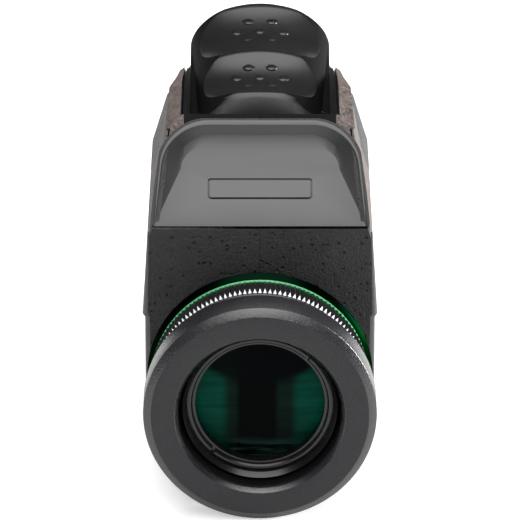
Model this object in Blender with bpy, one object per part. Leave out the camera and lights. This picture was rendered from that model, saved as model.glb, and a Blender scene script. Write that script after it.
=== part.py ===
"""Compact roof-prism monocular with a sliding focus lever and a twist-out eyecup.

Frame: +X to the right of the user, +Y along the optical axis away from the eye, +Z up.
The origin is on the table under the middle of the monocular.
Stations along the optical axis are counted from the front of the eyecup, heights from the optical axis.
"""

import bmesh
import bpy
from math import cos, pi, radians, sin, sqrt
from mathutils import Vector

MM = 0.001

# Fits and fineness
FIT = 0.3 * MM                    # running gap between neighbouring pieces
CUT_REACH = 4.0 * MM              # how far a cutter stands past what it cuts
WELD = 1e-7                       # points closer than this are one
SMOOTH_ANGLE = radians(35.0)      # flatter edges than this are shaded smooth
FLAT_ANGLE = radians(0.1)         # faces closer than this in direction are one flat face
SEGMENTS = 48                     # sides of the outer round pieces
INNER_SEGMENTS = 24               # sides of the pieces inside
ROD_SEGMENTS = 12                 # sides of screws, rods and their holes
LENS_STEPS = 3                    # rings of faces on a lens's dome
CORNER_STEPS = 6                  # faces round a corner of the belly
PANEL_CORNER_STEPS = 4            # faces round a corner of the rear panel
ARCH_STEPS = 12                   # faces over the lever's arch
RIDGE_STEPS = 12                  # sections along the lever's ridge

# Eyecup, twist ring and accent ring
EYECUP_WALL = 4.6 * MM            # round the sleeve that carries the cup
EYECUP_LENGTH = 6.9 * MM
EYECUP_LIP = 1.5 * MM
EYECUP_CHAMFER = 1.2 * MM
EYECUP_OPENING = 14.7 * MM        # radius of the opening
NECK_LENGTH = 3.3 * MM            # open stretch between the cup and the twist ring
RING_WIDTH = 5.1 * MM
RING_WALL = 1.9 * MM
RING_CHAMFER = 0.7 * MM
ACCENT_WIDTH = 1.5 * MM
ACCENT_WALL = 1.7 * MM

# Eyepiece
NOSE_FRONT = 3.7 * MM             # setback of the nose ring behind the cup's front
NOSE_RADIUS = 13.9 * MM
NOSE_MOUTH = 13.1 * MM
NOSE_BORE = 11.7 * MM
NOSE_FLANGE = 2.0 * MM
NOSE_CONE = 1.5 * MM              # depth of the ring's flared mouth
NOSE_SPIGOT = 2.2 * MM
EYE_LENS_RADIUS = 12.3 * MM
EYE_LENS_EDGE = 2.4 * MM
EYE_LENS_FRONT_SAG = 0.5 * MM
EYE_LENS_BACK_SAG = 1.5 * MM
DOUBLET_EDGE = 5.0 * MM
FIELD_LENS_EDGE = 3.0 * MM
FIELD_LENS_SAG = 0.8 * MM
LENS_LAND = 1.2 * MM              # flat rim of a lens
SPACER_WALL = 1.0 * MM
SPACER_LENGTH = 1.8 * MM
FIELD_SPACER_LENGTH = 3.6 * MM
FIELD_STOP_WIDTH = 1.2 * MM
FIELD_STOP_BORE = 8.0 * MM
BARREL_WALL = 1.8 * MM
BARREL_TAIL = 0.6 * MM
SLEEVE_WALL = 1.4 * MM
BOSS_WALL = 1.4 * MM
FLANGE_LEDGE = 0.6 * MM           # how far the eyepiece's flanges stand out of the rear bore
FLANGE_WIDTH = 1.5 * MM

# Body shells
REAR_RUN = 32.0 * MM              # level stretch of the body, up to where its top starts to fall
TAPER_LENGTH = 34.0 * MM          # stretch over which the top of the side walls falls
NOSE_RUN = 16.0 * MM              # last stretch, ahead of the skins
BODY_WALL = 2.0 * MM
REAR_WALL = 2.2 * MM
FLANGE_GAP = 0.2 * MM             # between the eyepiece's flanges and the shells
SCREW_ROOM = 5.0 * MM             # between the objective barrel and the shells, for the lower screws
BELLY_EXTRA = 0.4 * MM            # how much deeper the underside lies than the lower tube is wide
BELLY_CORNER = 15.0 * MM
LEDGE_HEIGHT = 11.3 * MM          # where the flank steps out above the lower tube
LEDGE_RISE = 0.7 * MM
LEDGE_STEP = 0.45 * MM            # how far the flank steps out at the ledge
FLANK_LEAN = 1.15 * MM            # how far the flank leans in from the ledge to mid height
FLANK_MID_MARGIN = 1.4 * MM       # mid height under the lowest point of the flank's top
SHOULDER_LEAN = 2.2 * MM          # and from there to its top
SIDE_WALL_RISE = 9.4 * MM         # side walls above the lever's deck
SIDE_WALL = 3.5 * MM              # top of a side wall, from its outer edge to the lever's channel
REAR_DRAW = 0.6 * MM              # how much the upper flank draws in up to the taper
TAPER_DRAW = 3.4 * MM             # and over the taper
CREST_INSET = 3.7 * MM            # sloping top of the side wall
CREST_RISE = 1.9 * MM
TAPER_DROP = 9.8 * MM             # fall of the top over the taper
NOSE_DROP = 3.2 * MM              # further fall to the front end
SKIN_THICKNESS = 1.2 * MM
SKIN_SETBACK = 1.3 * MM
SKIN_SEAT_PROUD = 3.0 * MM        # how far the cutter of a skin's seat stands past the flank
CHANNEL_MARGIN = 3.1 * MM         # room left behind the lever at the end of its travel
DECK_HEIGHT = 34.0 * MM
DECK_THICKNESS = 2.2 * MM
CAVITY_REAR_DROP = 12.5 * MM      # cavity roof at the rear wall, under the deck's top
CAVITY_RISE = 8.0 * MM            # length over which the cavity roof rises to the deck
CAVITY_FRONT_DROP = 9.0 * MM      # and at the front wall

# Rear panel
PANEL_LEAN = radians(55.0)        # angle of the sloping rear above the horizontal
PANEL_FOOT_DROP = 4.85 * MM       # its lower edge under the deck's top
PANEL_LIP = 0.8 * MM
PANEL_RIM = 0.4 * MM              # body left above the panel's pocket
PANEL_SIDE_MARGIN = 2.2 * MM      # from the panel's foot to the flank
PANEL_SHOULDER = 10.0 * MM
PANEL_SIDE_DRAW = 1.4 * MM
PANEL_CORNER = 6.0 * MM
PANEL_THICKNESS = 1.5 * MM
PLATE_HALF_WIDTH = 9.4 * MM       # bare recess in the panel
PLATE_HEIGHT = 3.9 * MM
PLATE_FOOT = 5.6 * MM
PLATE_DEPTH = 0.4 * MM

# Focus lever and what it drives
LEVER_REAR = 40.0 * MM
LEVER_LENGTH = 45.8 * MM
LEVER_GAP = 1.1 * MM              # slot on each side of the lever
LEVER_SIDE = 1.7 * MM             # upright foot of the lever, under its arch
LEVER_RISE = 10.5 * MM            # of the arch
LEVER_END_ROUND = 2.0 * MM
LEVER_END_STEP = 0.6 * MM         # from the lever's end to the section within its round
GROOVE_DEPTH = 2.6 * MM
LEVER_TRAVEL = 5.0 * MM
NECK_HALF_WIDTH = 3.0 * MM
NECK_SETBACK = 10.0 * MM          # rear face of the lever's neck behind the lever's middle
NECK_RUN = 20.0 * MM
SLIDE_HALF_WIDTH = 8.0 * MM
SLIDE_THICKNESS = 2.2 * MM
SLIDE_OVERHANG = 1.0 * MM         # of the slide plate past each end of the lever's neck
LEVER_SCREW_RADIUS = 1.0 * MM
LEVER_SCREW_HEAD = 1.8 * MM
LEVER_SCREW_HEAD_HEIGHT = 1.2 * MM
LEVER_SCREW_INSET = 1.5 * MM      # from the neck's ends
LEVER_SCREW_REACH = 4.0 * MM
ARM_HALF_WIDTH = 2.5 * MM
ARM_DEPTH = 4.0 * MM
ARM_OFFSET = 3.5 * MM             # arm and focus cell ahead of the middle of the lever's neck
CELL_LENGTH = 7.0 * MM
CELL_WALL = 2.0 * MM
FOCUS_LENS_RADIUS = 10.9 * MM
FOCUS_LENS_EDGE = 3.4 * MM
FOCUS_LENS_SAG = 0.7 * MM
PAD_HALF_WIDTH = 3.5 * MM
PAD_HEIGHT = 1.2 * MM
EAR_HALF_HEIGHT = 2.6 * MM
EAR_WALL = 1.5 * MM                # of the ear outside its rod's hole
ROD_RADIUS = 1.2 * MM

# Prisms
CAGE_PLATE = 1.5 * MM
CAGE_APERTURE = 9.0 * MM
CAGE_GAP = 1.5 * MM               # between the eyepiece barrel and the cage
CAGE_SPAN = 25.0 * MM             # between the two end plates
CAGE_FLOOR = 2.0 * MM
PRISM_HALF_WIDTH = 9.0 * MM
PRISM_HALF_HEIGHT = 10.0 * MM
PRISM_SPLIT = 8.0 * MM            # station of the air gap on top of the prisms
PRISM_SLANT = 8.0 * MM
PRISM_AIR = 0.5 * MM
ROOF_CUT = 6.0 * MM
CLIP_HALF_WIDTH = 4.0 * MM
CLIP_THICKNESS = 0.8 * MM

# Objective end
OBJECTIVE_RADIUS = 11.6 * MM
OBJECTIVE_SHOULDER = 1.2 * MM
FLINT_EDGE = 2.5 * MM
CROWN_EDGE = 5.0 * MM
CROWN_SAG = 1.2 * MM
RETAINER_LENGTH = 1.8 * MM
OBJECTIVE_WALL = 1.8 * MM
OBJECTIVE_PROUD = 3.3 * MM        # barrel ahead of the body
OBJECTIVE_TAIL = 12.0 * MM        # barrel behind the lens shoulder
OBJECTIVE_FLANGE_GAP = 0.9 * MM   # between the barrel's flange and the shells
FRONT_WALL = 2.0 * MM
BEZEL_LENGTH = 5.7 * MM
BEZEL_WALL = 4.5 * MM
BEZEL_CHAMFER = 1.4 * MM
BEZEL_MOUTH = 13.4 * MM
BEZEL_LIP = 2.4 * MM
BEZEL_BORE = 11.0 * MM
ORING_SECTION = 1.0 * MM

# Screws that hold the two halves together
SCREW_RADIUS = 1.0 * MM
SCREW_HEAD_RADIUS = 2.2 * MM
SCREW_HEAD_LENGTH = 2.0 * MM
SCREW_SHANK = 18.0 * MM
UPPER_SEAT_DEPTH = 8.9 * MM       # seat of the upper heads inside the lower tube's half width
UPPER_SCREW_DROP = 9.0 * MM       # upper screws under the deck's top
UPPER_BOSS_RADIUS = 3.2 * MM
LOWER_SEAT_DEPTH = 12.9 * MM      # and of the lower heads
LOWER_SCREW_RISE = 4.3 * MM       # lower screws above the underside
LOWER_BOSS_RADIUS = 2.6 * MM
LOWER_BOSS_DEPTH = 8.6 * MM       # end of the lower bosses inside the lower tube's half width
REAR_SCREW_OFFSET = 8.6 * MM      # rear screws ahead of the prism cage's rear face
FRONT_SCREW_SETBACK = 10.5 * MM   # front screws behind the body's front face

# Stations along the optical axis
RING_FRONT = EYECUP_LENGTH + NECK_LENGTH
RING_BACK = RING_FRONT + RING_WIDTH
ACCENT_FRONT = RING_BACK + FIT
BODY_REAR = ACCENT_FRONT + ACCENT_WIDTH + FIT
TAPER_STATION = BODY_REAR + REAR_RUN
TAPER_END = TAPER_STATION + TAPER_LENGTH
BODY_FRONT = TAPER_END + NOSE_RUN
OVERALL_LENGTH = BODY_FRONT + FIT + BEZEL_LENGTH
HOUSING_FLANGE = BODY_REAR + REAR_WALL + FIT
BARREL_FLANGE = HOUSING_FLANGE + FLANGE_WIDTH + FIT
NOSE_SHOULDER = NOSE_FRONT + NOSE_FLANGE
EYE_LENS_FRONT = NOSE_SHOULDER + NOSE_SPIGOT + FIT
SPACER_FRONT = EYE_LENS_FRONT + EYE_LENS_EDGE + FIT
DOUBLET_FRONT = SPACER_FRONT + SPACER_LENGTH + FIT
FIELD_SPACER_FRONT = DOUBLET_FRONT + DOUBLET_EDGE + FIT
FIELD_LENS_FRONT = FIELD_SPACER_FRONT + FIELD_SPACER_LENGTH + FIT
FIELD_STOP_FRONT = FIELD_LENS_FRONT + FIELD_LENS_EDGE + FIT
BARREL_BACK = FIELD_STOP_FRONT + FIELD_STOP_WIDTH + BARREL_TAIL
CAGE_REAR = BARREL_BACK + CAGE_GAP
PRISM_REAR = CAGE_REAR + CAGE_PLATE + FIT
PRISM_FRONT = CAGE_REAR + CAGE_PLATE + CAGE_SPAN - FIT
CAGE_FRONT = CAGE_REAR + CAGE_PLATE + CAGE_SPAN + CAGE_PLATE
OBJECTIVE_FRONT = BODY_FRONT + OBJECTIVE_PROUD
RETAINER_BACK = OBJECTIVE_FRONT - RETAINER_LENGTH
CROWN_BACK = RETAINER_BACK - FIT - CROWN_EDGE
FLINT_BACK = CROWN_BACK - FIT - FLINT_EDGE
LENS_SHOULDER = FLINT_BACK - FIT
OBJECTIVE_BACK = LENS_SHOULDER - OBJECTIVE_TAIL
LEVER_FRONT = LEVER_REAR + LEVER_LENGTH
LEVER_MIDDLE = LEVER_REAR + LEVER_LENGTH / 2.0
NECK_REAR = LEVER_MIDDLE - NECK_SETBACK
NECK_FRONT = NECK_REAR + NECK_RUN
NECK_MIDDLE = NECK_REAR + NECK_RUN / 2.0
CELL_CENTRE = NECK_MIDDLE + ARM_OFFSET
CHANNEL_REAR = LEVER_REAR - LEVER_TRAVEL - CHANNEL_MARGIN
SCREW_REAR = CAGE_REAR + REAR_SCREW_OFFSET
SCREW_FRONT = BODY_FRONT - FRONT_SCREW_SETBACK

# Radii that follow from the fits
BARREL_BORE = EYE_LENS_RADIUS + FIT
BARREL_RADIUS = BARREL_BORE + BARREL_WALL
SLEEVE_BORE = BARREL_RADIUS + FIT
SLEEVE_RADIUS = SLEEVE_BORE + SLEEVE_WALL
BOSS_BORE = SLEEVE_RADIUS + FIT
BOSS_RADIUS = BOSS_BORE + BOSS_WALL
RING_BORE = BOSS_RADIUS + FIT
EYECUP_SEAT = SLEEVE_RADIUS + FIT
EYECUP_RADIUS = EYECUP_SEAT + EYECUP_WALL
CELL_BORE = FOCUS_LENS_RADIUS + FIT
CELL_RADIUS = CELL_BORE + CELL_WALL
OBJECTIVE_BORE = OBJECTIVE_RADIUS + FIT
OBJECTIVE_OUTER = OBJECTIVE_BORE + OBJECTIVE_WALL
BEZEL_INNER = OBJECTIVE_OUTER + FIT
FLANGE_RADIUS = max(RING_BORE + FLANGE_LEDGE, OBJECTIVE_OUTER + SCREW_ROOM)
CAGE_RADIUS = FLANGE_RADIUS - FIT

# Widths and heights of the body, round what it holds
INNER_HALF_WIDTH = FLANGE_RADIUS + FLANGE_GAP
LOWER_HALF_WIDTH = INNER_HALF_WIDTH + BODY_WALL
BELLY_DEPTH = LOWER_HALF_WIDTH + BELLY_EXTRA
FLANK_LEDGE = LOWER_HALF_WIDTH + LEDGE_STEP
FLANK_MID = FLANK_LEDGE - FLANK_LEAN
SHOULDER_HALF_WIDTH = FLANK_MID - SHOULDER_LEAN
SHOULDER_HEIGHT = DECK_HEIGHT + SIDE_WALL_RISE
CREST_HEIGHT = SHOULDER_HEIGHT + CREST_RISE
FLANK_MID_HEIGHT = SHOULDER_HEIGHT - TAPER_DROP - NOSE_DROP - FLANK_MID_MARGIN
PANEL_FOOT = DECK_HEIGHT - PANEL_FOOT_DROP
CHANNEL_HALF_WIDTH = SHOULDER_HALF_WIDTH - SIDE_WALL
LEVER_HALF_WIDTH = CHANNEL_HALF_WIDTH - LEVER_GAP
PANEL_HALF_WIDTH = FLANK_MID - PANEL_SIDE_MARGIN
PANEL_TOP = (CREST_HEIGHT - PANEL_FOOT) / sin(PANEL_LEAN) - PANEL_RIM - FIT
OBJECTIVE_FLANGE = INNER_HALF_WIDTH - OBJECTIVE_FLANGE_GAP
ROD_OFFSET = INNER_HALF_WIDTH - FIT - EAR_WALL - FIT - ROD_RADIUS
UPPER_SCREW_SEAT = LOWER_HALF_WIDTH - UPPER_SEAT_DEPTH
LOWER_SCREW_SEAT = LOWER_HALF_WIDTH - LOWER_SEAT_DEPTH
LOWER_BOSS_END = LOWER_HALF_WIDTH - LOWER_BOSS_DEPTH
UPPER_SCREW_HEIGHT = DECK_HEIGHT - UPPER_SCREW_DROP
LOWER_SCREW_HEIGHT = LOWER_SCREW_RISE - BELLY_DEPTH
DECK_UNDERSIDE = DECK_HEIGHT - DECK_THICKNESS
SLIDE_TOP = DECK_UNDERSIDE - FIT
SLIDE_FOOT = SLIDE_TOP - SLIDE_THICKNESS
PAD_TOP = CELL_RADIUS + PAD_HEIGHT
LEVER_FOOT = DECK_HEIGHT + FIT
LEVER_SPRING = LEVER_FOOT + LEVER_SIDE
LEVER_CREST = LEVER_SPRING + LEVER_RISE

UP_SLOPE = Vector((0.0, cos(PANEL_LEAN), sin(PANEL_LEAN)))
PANEL_NORMAL = Vector((0.0, -sin(PANEL_LEAN), cos(PANEL_LEAN)))

for old in list(bpy.data.objects):
    bpy.data.objects.remove(old, do_unlink=True)

collection = bpy.context.scene.collection
axis_empty = bpy.data.objects.new("optical_axis", None)
axis_empty.location = (0.0, -OVERALL_LENGTH / 2.0, BELLY_DEPTH)
collection.objects.link(axis_empty)


def material(name, colour, roughness, metallic=0.0, transmission=0.0):
    """A plain Principled material in the part's own colour."""
    made = bpy.data.materials.new(name)
    made.use_nodes = True
    shader = made.node_tree.nodes["Principled BSDF"]
    shader.inputs["Base Color"].default_value = (*colour, 1.0)
    shader.inputs["Roughness"].default_value = roughness
    shader.inputs["Metallic"].default_value = metallic
    shader.inputs["Transmission Weight"].default_value = transmission
    return made


SHELL = material("shell_plastic", (0.022, 0.022, 0.023), 0.60)
PANEL = material("panel_plastic", (0.040, 0.041, 0.043), 0.45)
SKIN = material("skin_rubber", (0.045, 0.042, 0.040), 0.80)
RUBBER = material("eyecup_rubber", (0.030, 0.031, 0.032), 0.65)
LEVER = material("lever_plastic", (0.028, 0.028, 0.029), 0.60)
BLACK_METAL = material("black_metal", (0.020, 0.020, 0.021), 0.40, 1.0)
GREEN = material("green_anodised", (0.010, 0.140, 0.050), 0.30, 1.0)
STEEL = material("steel", (0.560, 0.560, 0.570), 0.30, 1.0)
GLASS = material("coated_glass", (0.100, 0.300, 0.220), 0.05, 0.0, 0.9)
SEAL = material("seal_rubber", (0.015, 0.015, 0.015), 0.70)


def finish(name, work, look, location=(0.0, 0.0, 0.0)):
    """Turn a bmesh into a named object on the optical axis, with its faces pointing out."""
    bmesh.ops.recalc_face_normals(work, faces=work.faces)
    mesh = bpy.data.meshes.new(name)
    work.to_mesh(mesh)
    work.free()
    mesh.materials.append(look)
    mesh.shade_smooth()
    mesh.set_sharp_from_angle(angle=SMOOTH_ANGLE)
    made = bpy.data.objects.new(name, mesh)
    made.parent = axis_empty
    made.location = location
    collection.objects.link(made)
    return made


def spun(outline, axis, segments):
    """Spin (radius, along) points about the X, Y or Z axis.

    An outline that starts on the axis also ends there, and its flat ends become one face each.
    Any other outline is closed before it is spun.
    """
    work = bmesh.new()
    chain = []
    for radius, along in outline:
        place = {"X": (along, 0.0, radius), "Y": (radius, along, 0.0), "Z": (radius, 0.0, along)}
        chain.append(work.verts.new(place[axis]))
    edges = [work.edges.new(pair) for pair in zip(chain, chain[1:])]
    if outline[0][0] > 0.0:
        edges.append(work.edges.new((chain[-1], chain[0])))
    direction = {"X": (1.0, 0.0, 0.0), "Y": (0.0, 1.0, 0.0), "Z": (0.0, 0.0, 1.0)}
    bmesh.ops.spin(work, geom=chain + edges, cent=(0.0, 0.0, 0.0), axis=direction[axis],
                   angle=2.0 * pi, steps=segments, use_merge=True)
    bmesh.ops.remove_doubles(work, verts=work.verts, dist=WELD)
    if outline[0][0] == 0.0:
        bmesh.ops.dissolve_limit(work, angle_limit=FLAT_ANGLE, verts=work.verts, edges=work.edges)
    return work


def turned(name, outline, look, segments=INNER_SEGMENTS, station=0.0):
    """A round piece: (radius, station) points spun about the optical axis."""
    return finish(name, spun(outline, "Y", segments), look, (0.0, station, 0.0))


def rod_outline(radius, start, end):
    """Outline of a solid round bar between two places on its axis."""
    return [(0.0, start), (radius, start), (radius, end), (0.0, end)]


def tube_outline(inner, outer, start, end):
    """Outline of a plain tube between two places on its axis."""
    return [(inner, start), (outer, start), (outer, end), (inner, end)]


def dome_height(dome, sag, share):
    """How far a lens's dome stands out of its rim, at a share of the dome's radius."""
    if sag <= 0.0:
        return 0.0
    curve = (dome * dome + sag * sag) / (2.0 * sag)
    return sqrt(curve * curve - (dome * share) ** 2) - (curve - sag)


def lens(name, radius, edge, front_sag, back_sag, station):
    """A lens with a flat rim; its rim's front face lies at the station."""
    dome = radius - LENS_LAND
    shares = [step / LENS_STEPS for step in range(LENS_STEPS + 1)]
    outline = [(dome * share, -dome_height(dome, front_sag, share)) for share in shares]
    outline += [(radius, 0.0), (radius, edge)]
    outline += [(dome * share, edge + dome_height(dome, back_sag, share)) for share in reversed(shares)]
    return turned(name, outline, GLASS, INNER_SEGMENTS, station)


def loft(sections):
    """Join closed rings of points, one per station, and cap both ends.

    Each face between two rings is split from its lower near corner to its upper far corner,
    so that the inside and the outside of a twisted wall keep their distance.
    """
    work = bmesh.new()
    rings = [[work.verts.new(point) for point in section] for section in sections]
    count = len(rings[0])
    for near, far in zip(rings, rings[1:]):
        for i in range(count):
            j = (i + 1) % count
            if near[i].co.z <= near[j].co.z:
                work.faces.new((near[i], near[j], far[j]))
                work.faces.new((near[i], far[j], far[i]))
            else:
                work.faces.new((near[i], near[j], far[i]))
                work.faces.new((near[j], far[j], far[i]))
    work.faces.new(rings[0])
    work.faces.new(list(reversed(rings[-1])))
    return work


def box(name, low, high, look):
    """A box between two corners."""
    work = bmesh.new()
    bmesh.ops.create_cube(work, size=1.0)
    size = Vector(high) - Vector(low)
    centre = (Vector(high) + Vector(low)) / 2.0
    bmesh.ops.scale(work, vec=size, verts=work.verts)
    bmesh.ops.translate(work, vec=centre, verts=work.verts)
    return finish(name, work, look)


def cross_rod(name, radius, start, end, along, height, look):
    """A round bar along X at a station and height."""
    work = spun(rod_outline(radius, start, end), "X", ROD_SEGMENTS)
    return finish(name, work, look, (0.0, along, height))


def combine(target, tool, operation):
    """Add a Boolean and keep its tool out of the model."""
    tool.hide_render = True
    tool.display_type = "WIRE"
    step = target.modifiers.new(operation.lower() + "_" + tool.name, "BOOLEAN")
    step.operation = operation
    step.object = tool


def cut(target, tool):
    """Take the tool's shape out of the target."""
    combine(target, tool, "DIFFERENCE")


def join(target, tool):
    """Add the tool's shape to the target."""
    combine(target, tool, "UNION")


def slice_off(work, point, normal):
    """Remove what lies on the normal's side of a plane and close the cut."""
    geometry = work.verts[:] + work.edges[:] + work.faces[:]
    result = bmesh.ops.bisect_plane(work, geom=geometry, dist=WELD, plane_co=point, plane_no=normal,
                                    clear_outer=True)
    rim = [item for item in result["geom_cut"] if isinstance(item, bmesh.types.BMEdge)]
    bmesh.ops.contextual_create(work, geom=rim)


def flank(station):
    """Half widths at the ledge, mid height and shoulder, and the shoulder's height, at a station."""
    if station <= TAPER_STATION:
        fall = 0.0
        draw = REAR_DRAW * (station - BODY_REAR) / (TAPER_STATION - BODY_REAR)
    elif station <= TAPER_END:
        share = (station - TAPER_STATION) / TAPER_LENGTH
        fall = TAPER_DROP * share
        draw = REAR_DRAW + TAPER_DRAW * share
    else:
        share = (station - TAPER_END) / (BODY_FRONT - TAPER_END)
        fall = TAPER_DROP + NOSE_DROP * share
        draw = REAR_DRAW + TAPER_DRAW
    top = SHOULDER_HEIGHT - fall
    climb = (top - FLANK_MID_HEIGHT) / (SHOULDER_HEIGHT - FLANK_MID_HEIGHT)
    shoulder = FLANK_MID + (SHOULDER_HALF_WIDTH - FLANK_MID) * climb
    return FLANK_LEDGE, FLANK_MID - draw, shoulder - draw, top


def lower_tube(half_width, depth, corner):
    """Right half of the lower outline, from the bottom's middle up to the side."""
    points = [(0.0, -depth)]
    for step in range(CORNER_STEPS + 1):
        turn = pi / 2.0 * step / CORNER_STEPS
        points.append((half_width - corner * (1.0 - sin(turn)), corner * (1.0 - cos(turn)) - depth))
    return points


def mirrored(half, station):
    """Close a right-half outline, bottom middle to top middle, into a full ring."""
    ring = [(x, station, z) for x, z in half]
    ring += [(-x, station, z) for x, z in reversed(half) if x > 0.0]
    return ring


def body_section(station):
    """Outer outline of the two shells together at a station."""
    ledge, mid, shoulder, top = flank(station)
    half = lower_tube(LOWER_HALF_WIDTH, BELLY_DEPTH, BELLY_CORNER)
    half.append((LOWER_HALF_WIDTH, LEDGE_HEIGHT))
    half.append((ledge, LEDGE_HEIGHT + LEDGE_RISE))
    half.append((mid, FLANK_MID_HEIGHT))
    half.append((shoulder, top))
    half.append((shoulder - CREST_INSET, top + CREST_RISE))
    half.append((0.0, top + CREST_RISE))
    return mirrored(half, station)


def cavity_section(station, roof):
    """Outline of the hollow inside at a station, up to the given roof."""
    ledge, mid, shoulder, top = flank(station)
    inset = SKIN_THICKNESS + FIT + BODY_WALL
    share = (roof - FLANK_MID_HEIGHT) / (top - FLANK_MID_HEIGHT)
    roof_half = mid + (shoulder - mid) * max(share, 0.0) - inset
    half = lower_tube(INNER_HALF_WIDTH, BELLY_DEPTH - BODY_WALL, BELLY_CORNER - BODY_WALL)
    half.append((INNER_HALF_WIDTH, LEDGE_HEIGHT))
    half.append((roof_half, roof))
    half.append((0.0, roof))
    return mirrored(half, station)


def skin_section(side, station, grow, proud):
    """Thin leaning plate on one flank; grow and proud widen it into the cutter of its seat."""
    ledge, mid, shoulder, top = flank(station)
    foot = LEDGE_HEIGHT + LEDGE_RISE
    inner = SKIN_THICKNESS + grow
    outline = [(ledge + proud, foot - grow), (mid + proud, FLANK_MID_HEIGHT),
               (shoulder + proud, top + grow), (shoulder - inner, top + grow),
               (mid - inner, FLANK_MID_HEIGHT), (ledge - inner, foot - grow)]
    return [(side * x, station, z) for x, z in outline]


def skin_mesh(side, grow=0.0, proud=0.0):
    """One side skin, or the cutter of its seat, cut off under the sloping rear."""
    stations = (BODY_REAR + SKIN_SETBACK - grow, TAPER_STATION, TAPER_END + grow)
    work = loft([skin_section(side, station, grow, proud) for station in stations])
    slice_off(work, panel_point(0.0, grow - PANEL_THICKNESS), PANEL_NORMAL)
    return work


def panel_point(up, out=0.0):
    """A point on the sloping rear, measured up the slope and out along its normal."""
    return Vector((0.0, BODY_REAR, PANEL_FOOT)) + UP_SLOPE * up + PANEL_NORMAL * out


def panel_outline(grow):
    """Rear panel's outline in its own plane, wide at the foot and round at the top corners."""
    foot = PANEL_LIP - grow
    top = PANEL_TOP + grow
    low = PANEL_HALF_WIDTH + grow
    high = PANEL_HALF_WIDTH - PANEL_SIDE_DRAW + grow
    corner = PANEL_CORNER + grow
    right = [(low, foot), (high, PANEL_LIP + PANEL_SHOULDER)]
    for step in range(PANEL_CORNER_STEPS + 1):
        turn = pi / 2.0 * step / PANEL_CORNER_STEPS
        right.append((high - corner * (1.0 - cos(turn)), top - corner * (1.0 - sin(turn))))
    return right + [(-x, y) for x, y in reversed(right)]


def panel_solid(name, grow, depth, proud, look):
    """The panel's outline given a thickness, placed on the sloping rear."""
    outline = panel_outline(grow)
    work = loft([[(x, y, level) for x, y in outline] for level in (-depth, proud)])
    made = finish(name, work, look, panel_point(0.0))
    made.rotation_euler = (PANEL_LEAN, 0.0, 0.0)
    return made


def body_half(name, side):
    """Outer form of one half shell, cut off at the seam."""
    stations = (BODY_REAR, TAPER_STATION, TAPER_END, BODY_FRONT)
    work = loft([body_section(station) for station in stations])
    slice_off(work, panel_point(0.0), PANEL_NORMAL)
    slice_off(work, Vector((side * FIT / 2.0, 0.0, 0.0)), Vector((-side, 0.0, 0.0)))
    return finish(name, work, SHELL)


def hollow_tools():
    """Cutters of the hollow inside, the lever's channel and the slot for its neck."""
    inner_rear = BODY_REAR + REAR_WALL
    inner_front = BODY_FRONT - FRONT_WALL
    hollow = loft([cavity_section(inner_rear, DECK_HEIGHT - CAVITY_REAR_DROP),
                   cavity_section(inner_rear + CAVITY_RISE, DECK_UNDERSIDE),
                   cavity_section(TAPER_STATION, DECK_UNDERSIDE),
                   cavity_section(TAPER_END, DECK_UNDERSIDE),
                   cavity_section(inner_front, DECK_HEIGHT - CAVITY_FRONT_DROP)])
    cavity = finish("cavity_tool", hollow, SHELL)
    channel = box("channel_tool", (-CHANNEL_HALF_WIDTH, CHANNEL_REAR, DECK_HEIGHT),
                  (CHANNEL_HALF_WIDTH, BODY_FRONT + CUT_REACH, CREST_HEIGHT + CUT_REACH), SHELL)
    margin = LEVER_TRAVEL + FIT
    slot = box("slot_tool", (-NECK_HALF_WIDTH - FIT, NECK_REAR - margin, DECK_UNDERSIDE - CUT_REACH),
               (NECK_HALF_WIDTH + FIT, NECK_FRONT + margin, DECK_HEIGHT + CUT_REACH), SHELL)
    return [cavity, channel, slot]


def opening_tools():
    """Cutters of the eyepiece's and the objective's bores and of the rear panel's pocket."""
    rear = turned("rear_bore_tool", rod_outline(RING_BORE, -CUT_REACH, CUT_REACH), SHELL,
                  SEGMENTS, BODY_REAR)
    front = turned("front_bore_tool", rod_outline(BEZEL_INNER, -CUT_REACH, CUT_REACH), SHELL,
                   SEGMENTS, BODY_FRONT)
    pocket = panel_solid("panel_pocket_tool", FIT, PANEL_THICKNESS + FIT, CUT_REACH, SHELL)
    return [rear, front, pocket]


def build_body():
    """The two half shells: hollow, with seats and bosses for what they carry."""
    halves = ((body_half("body_left", -1.0), -1.0), (body_half("body_right", 1.0), 1.0))
    shared = hollow_tools() + opening_tools()
    for half, side in halves:
        for tool in shared:
            cut(half, tool)
        cut(half, finish(half.name + "_skin_tool", skin_mesh(side, FIT, SKIN_SEAT_PROUD), SHELL))
        for number, (along, height, boss, boss_end, seat) in enumerate(screw_places()):
            start, end = sorted((side * FIT / 2.0, side * boss_end))
            join(half, cross_rod(f"{half.name}_boss_tool_{number}", boss, start, end, along, height, SHELL))
        for number, (along, height, boss, boss_end, seat) in enumerate(screw_places()):
            cut(half, cross_rod(f"{half.name}_shank_tool_{number}", SCREW_RADIUS + FIT,
                                seat - SCREW_SHANK - FIT, seat + CUT_REACH, along, height, SHELL))
            if side > 0.0:
                cut(half, cross_rod(f"head_tool_{number}", SCREW_HEAD_RADIUS + FIT, seat - FIT,
                                    FLANK_LEDGE + CUT_REACH, along, height, SHELL))


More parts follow.
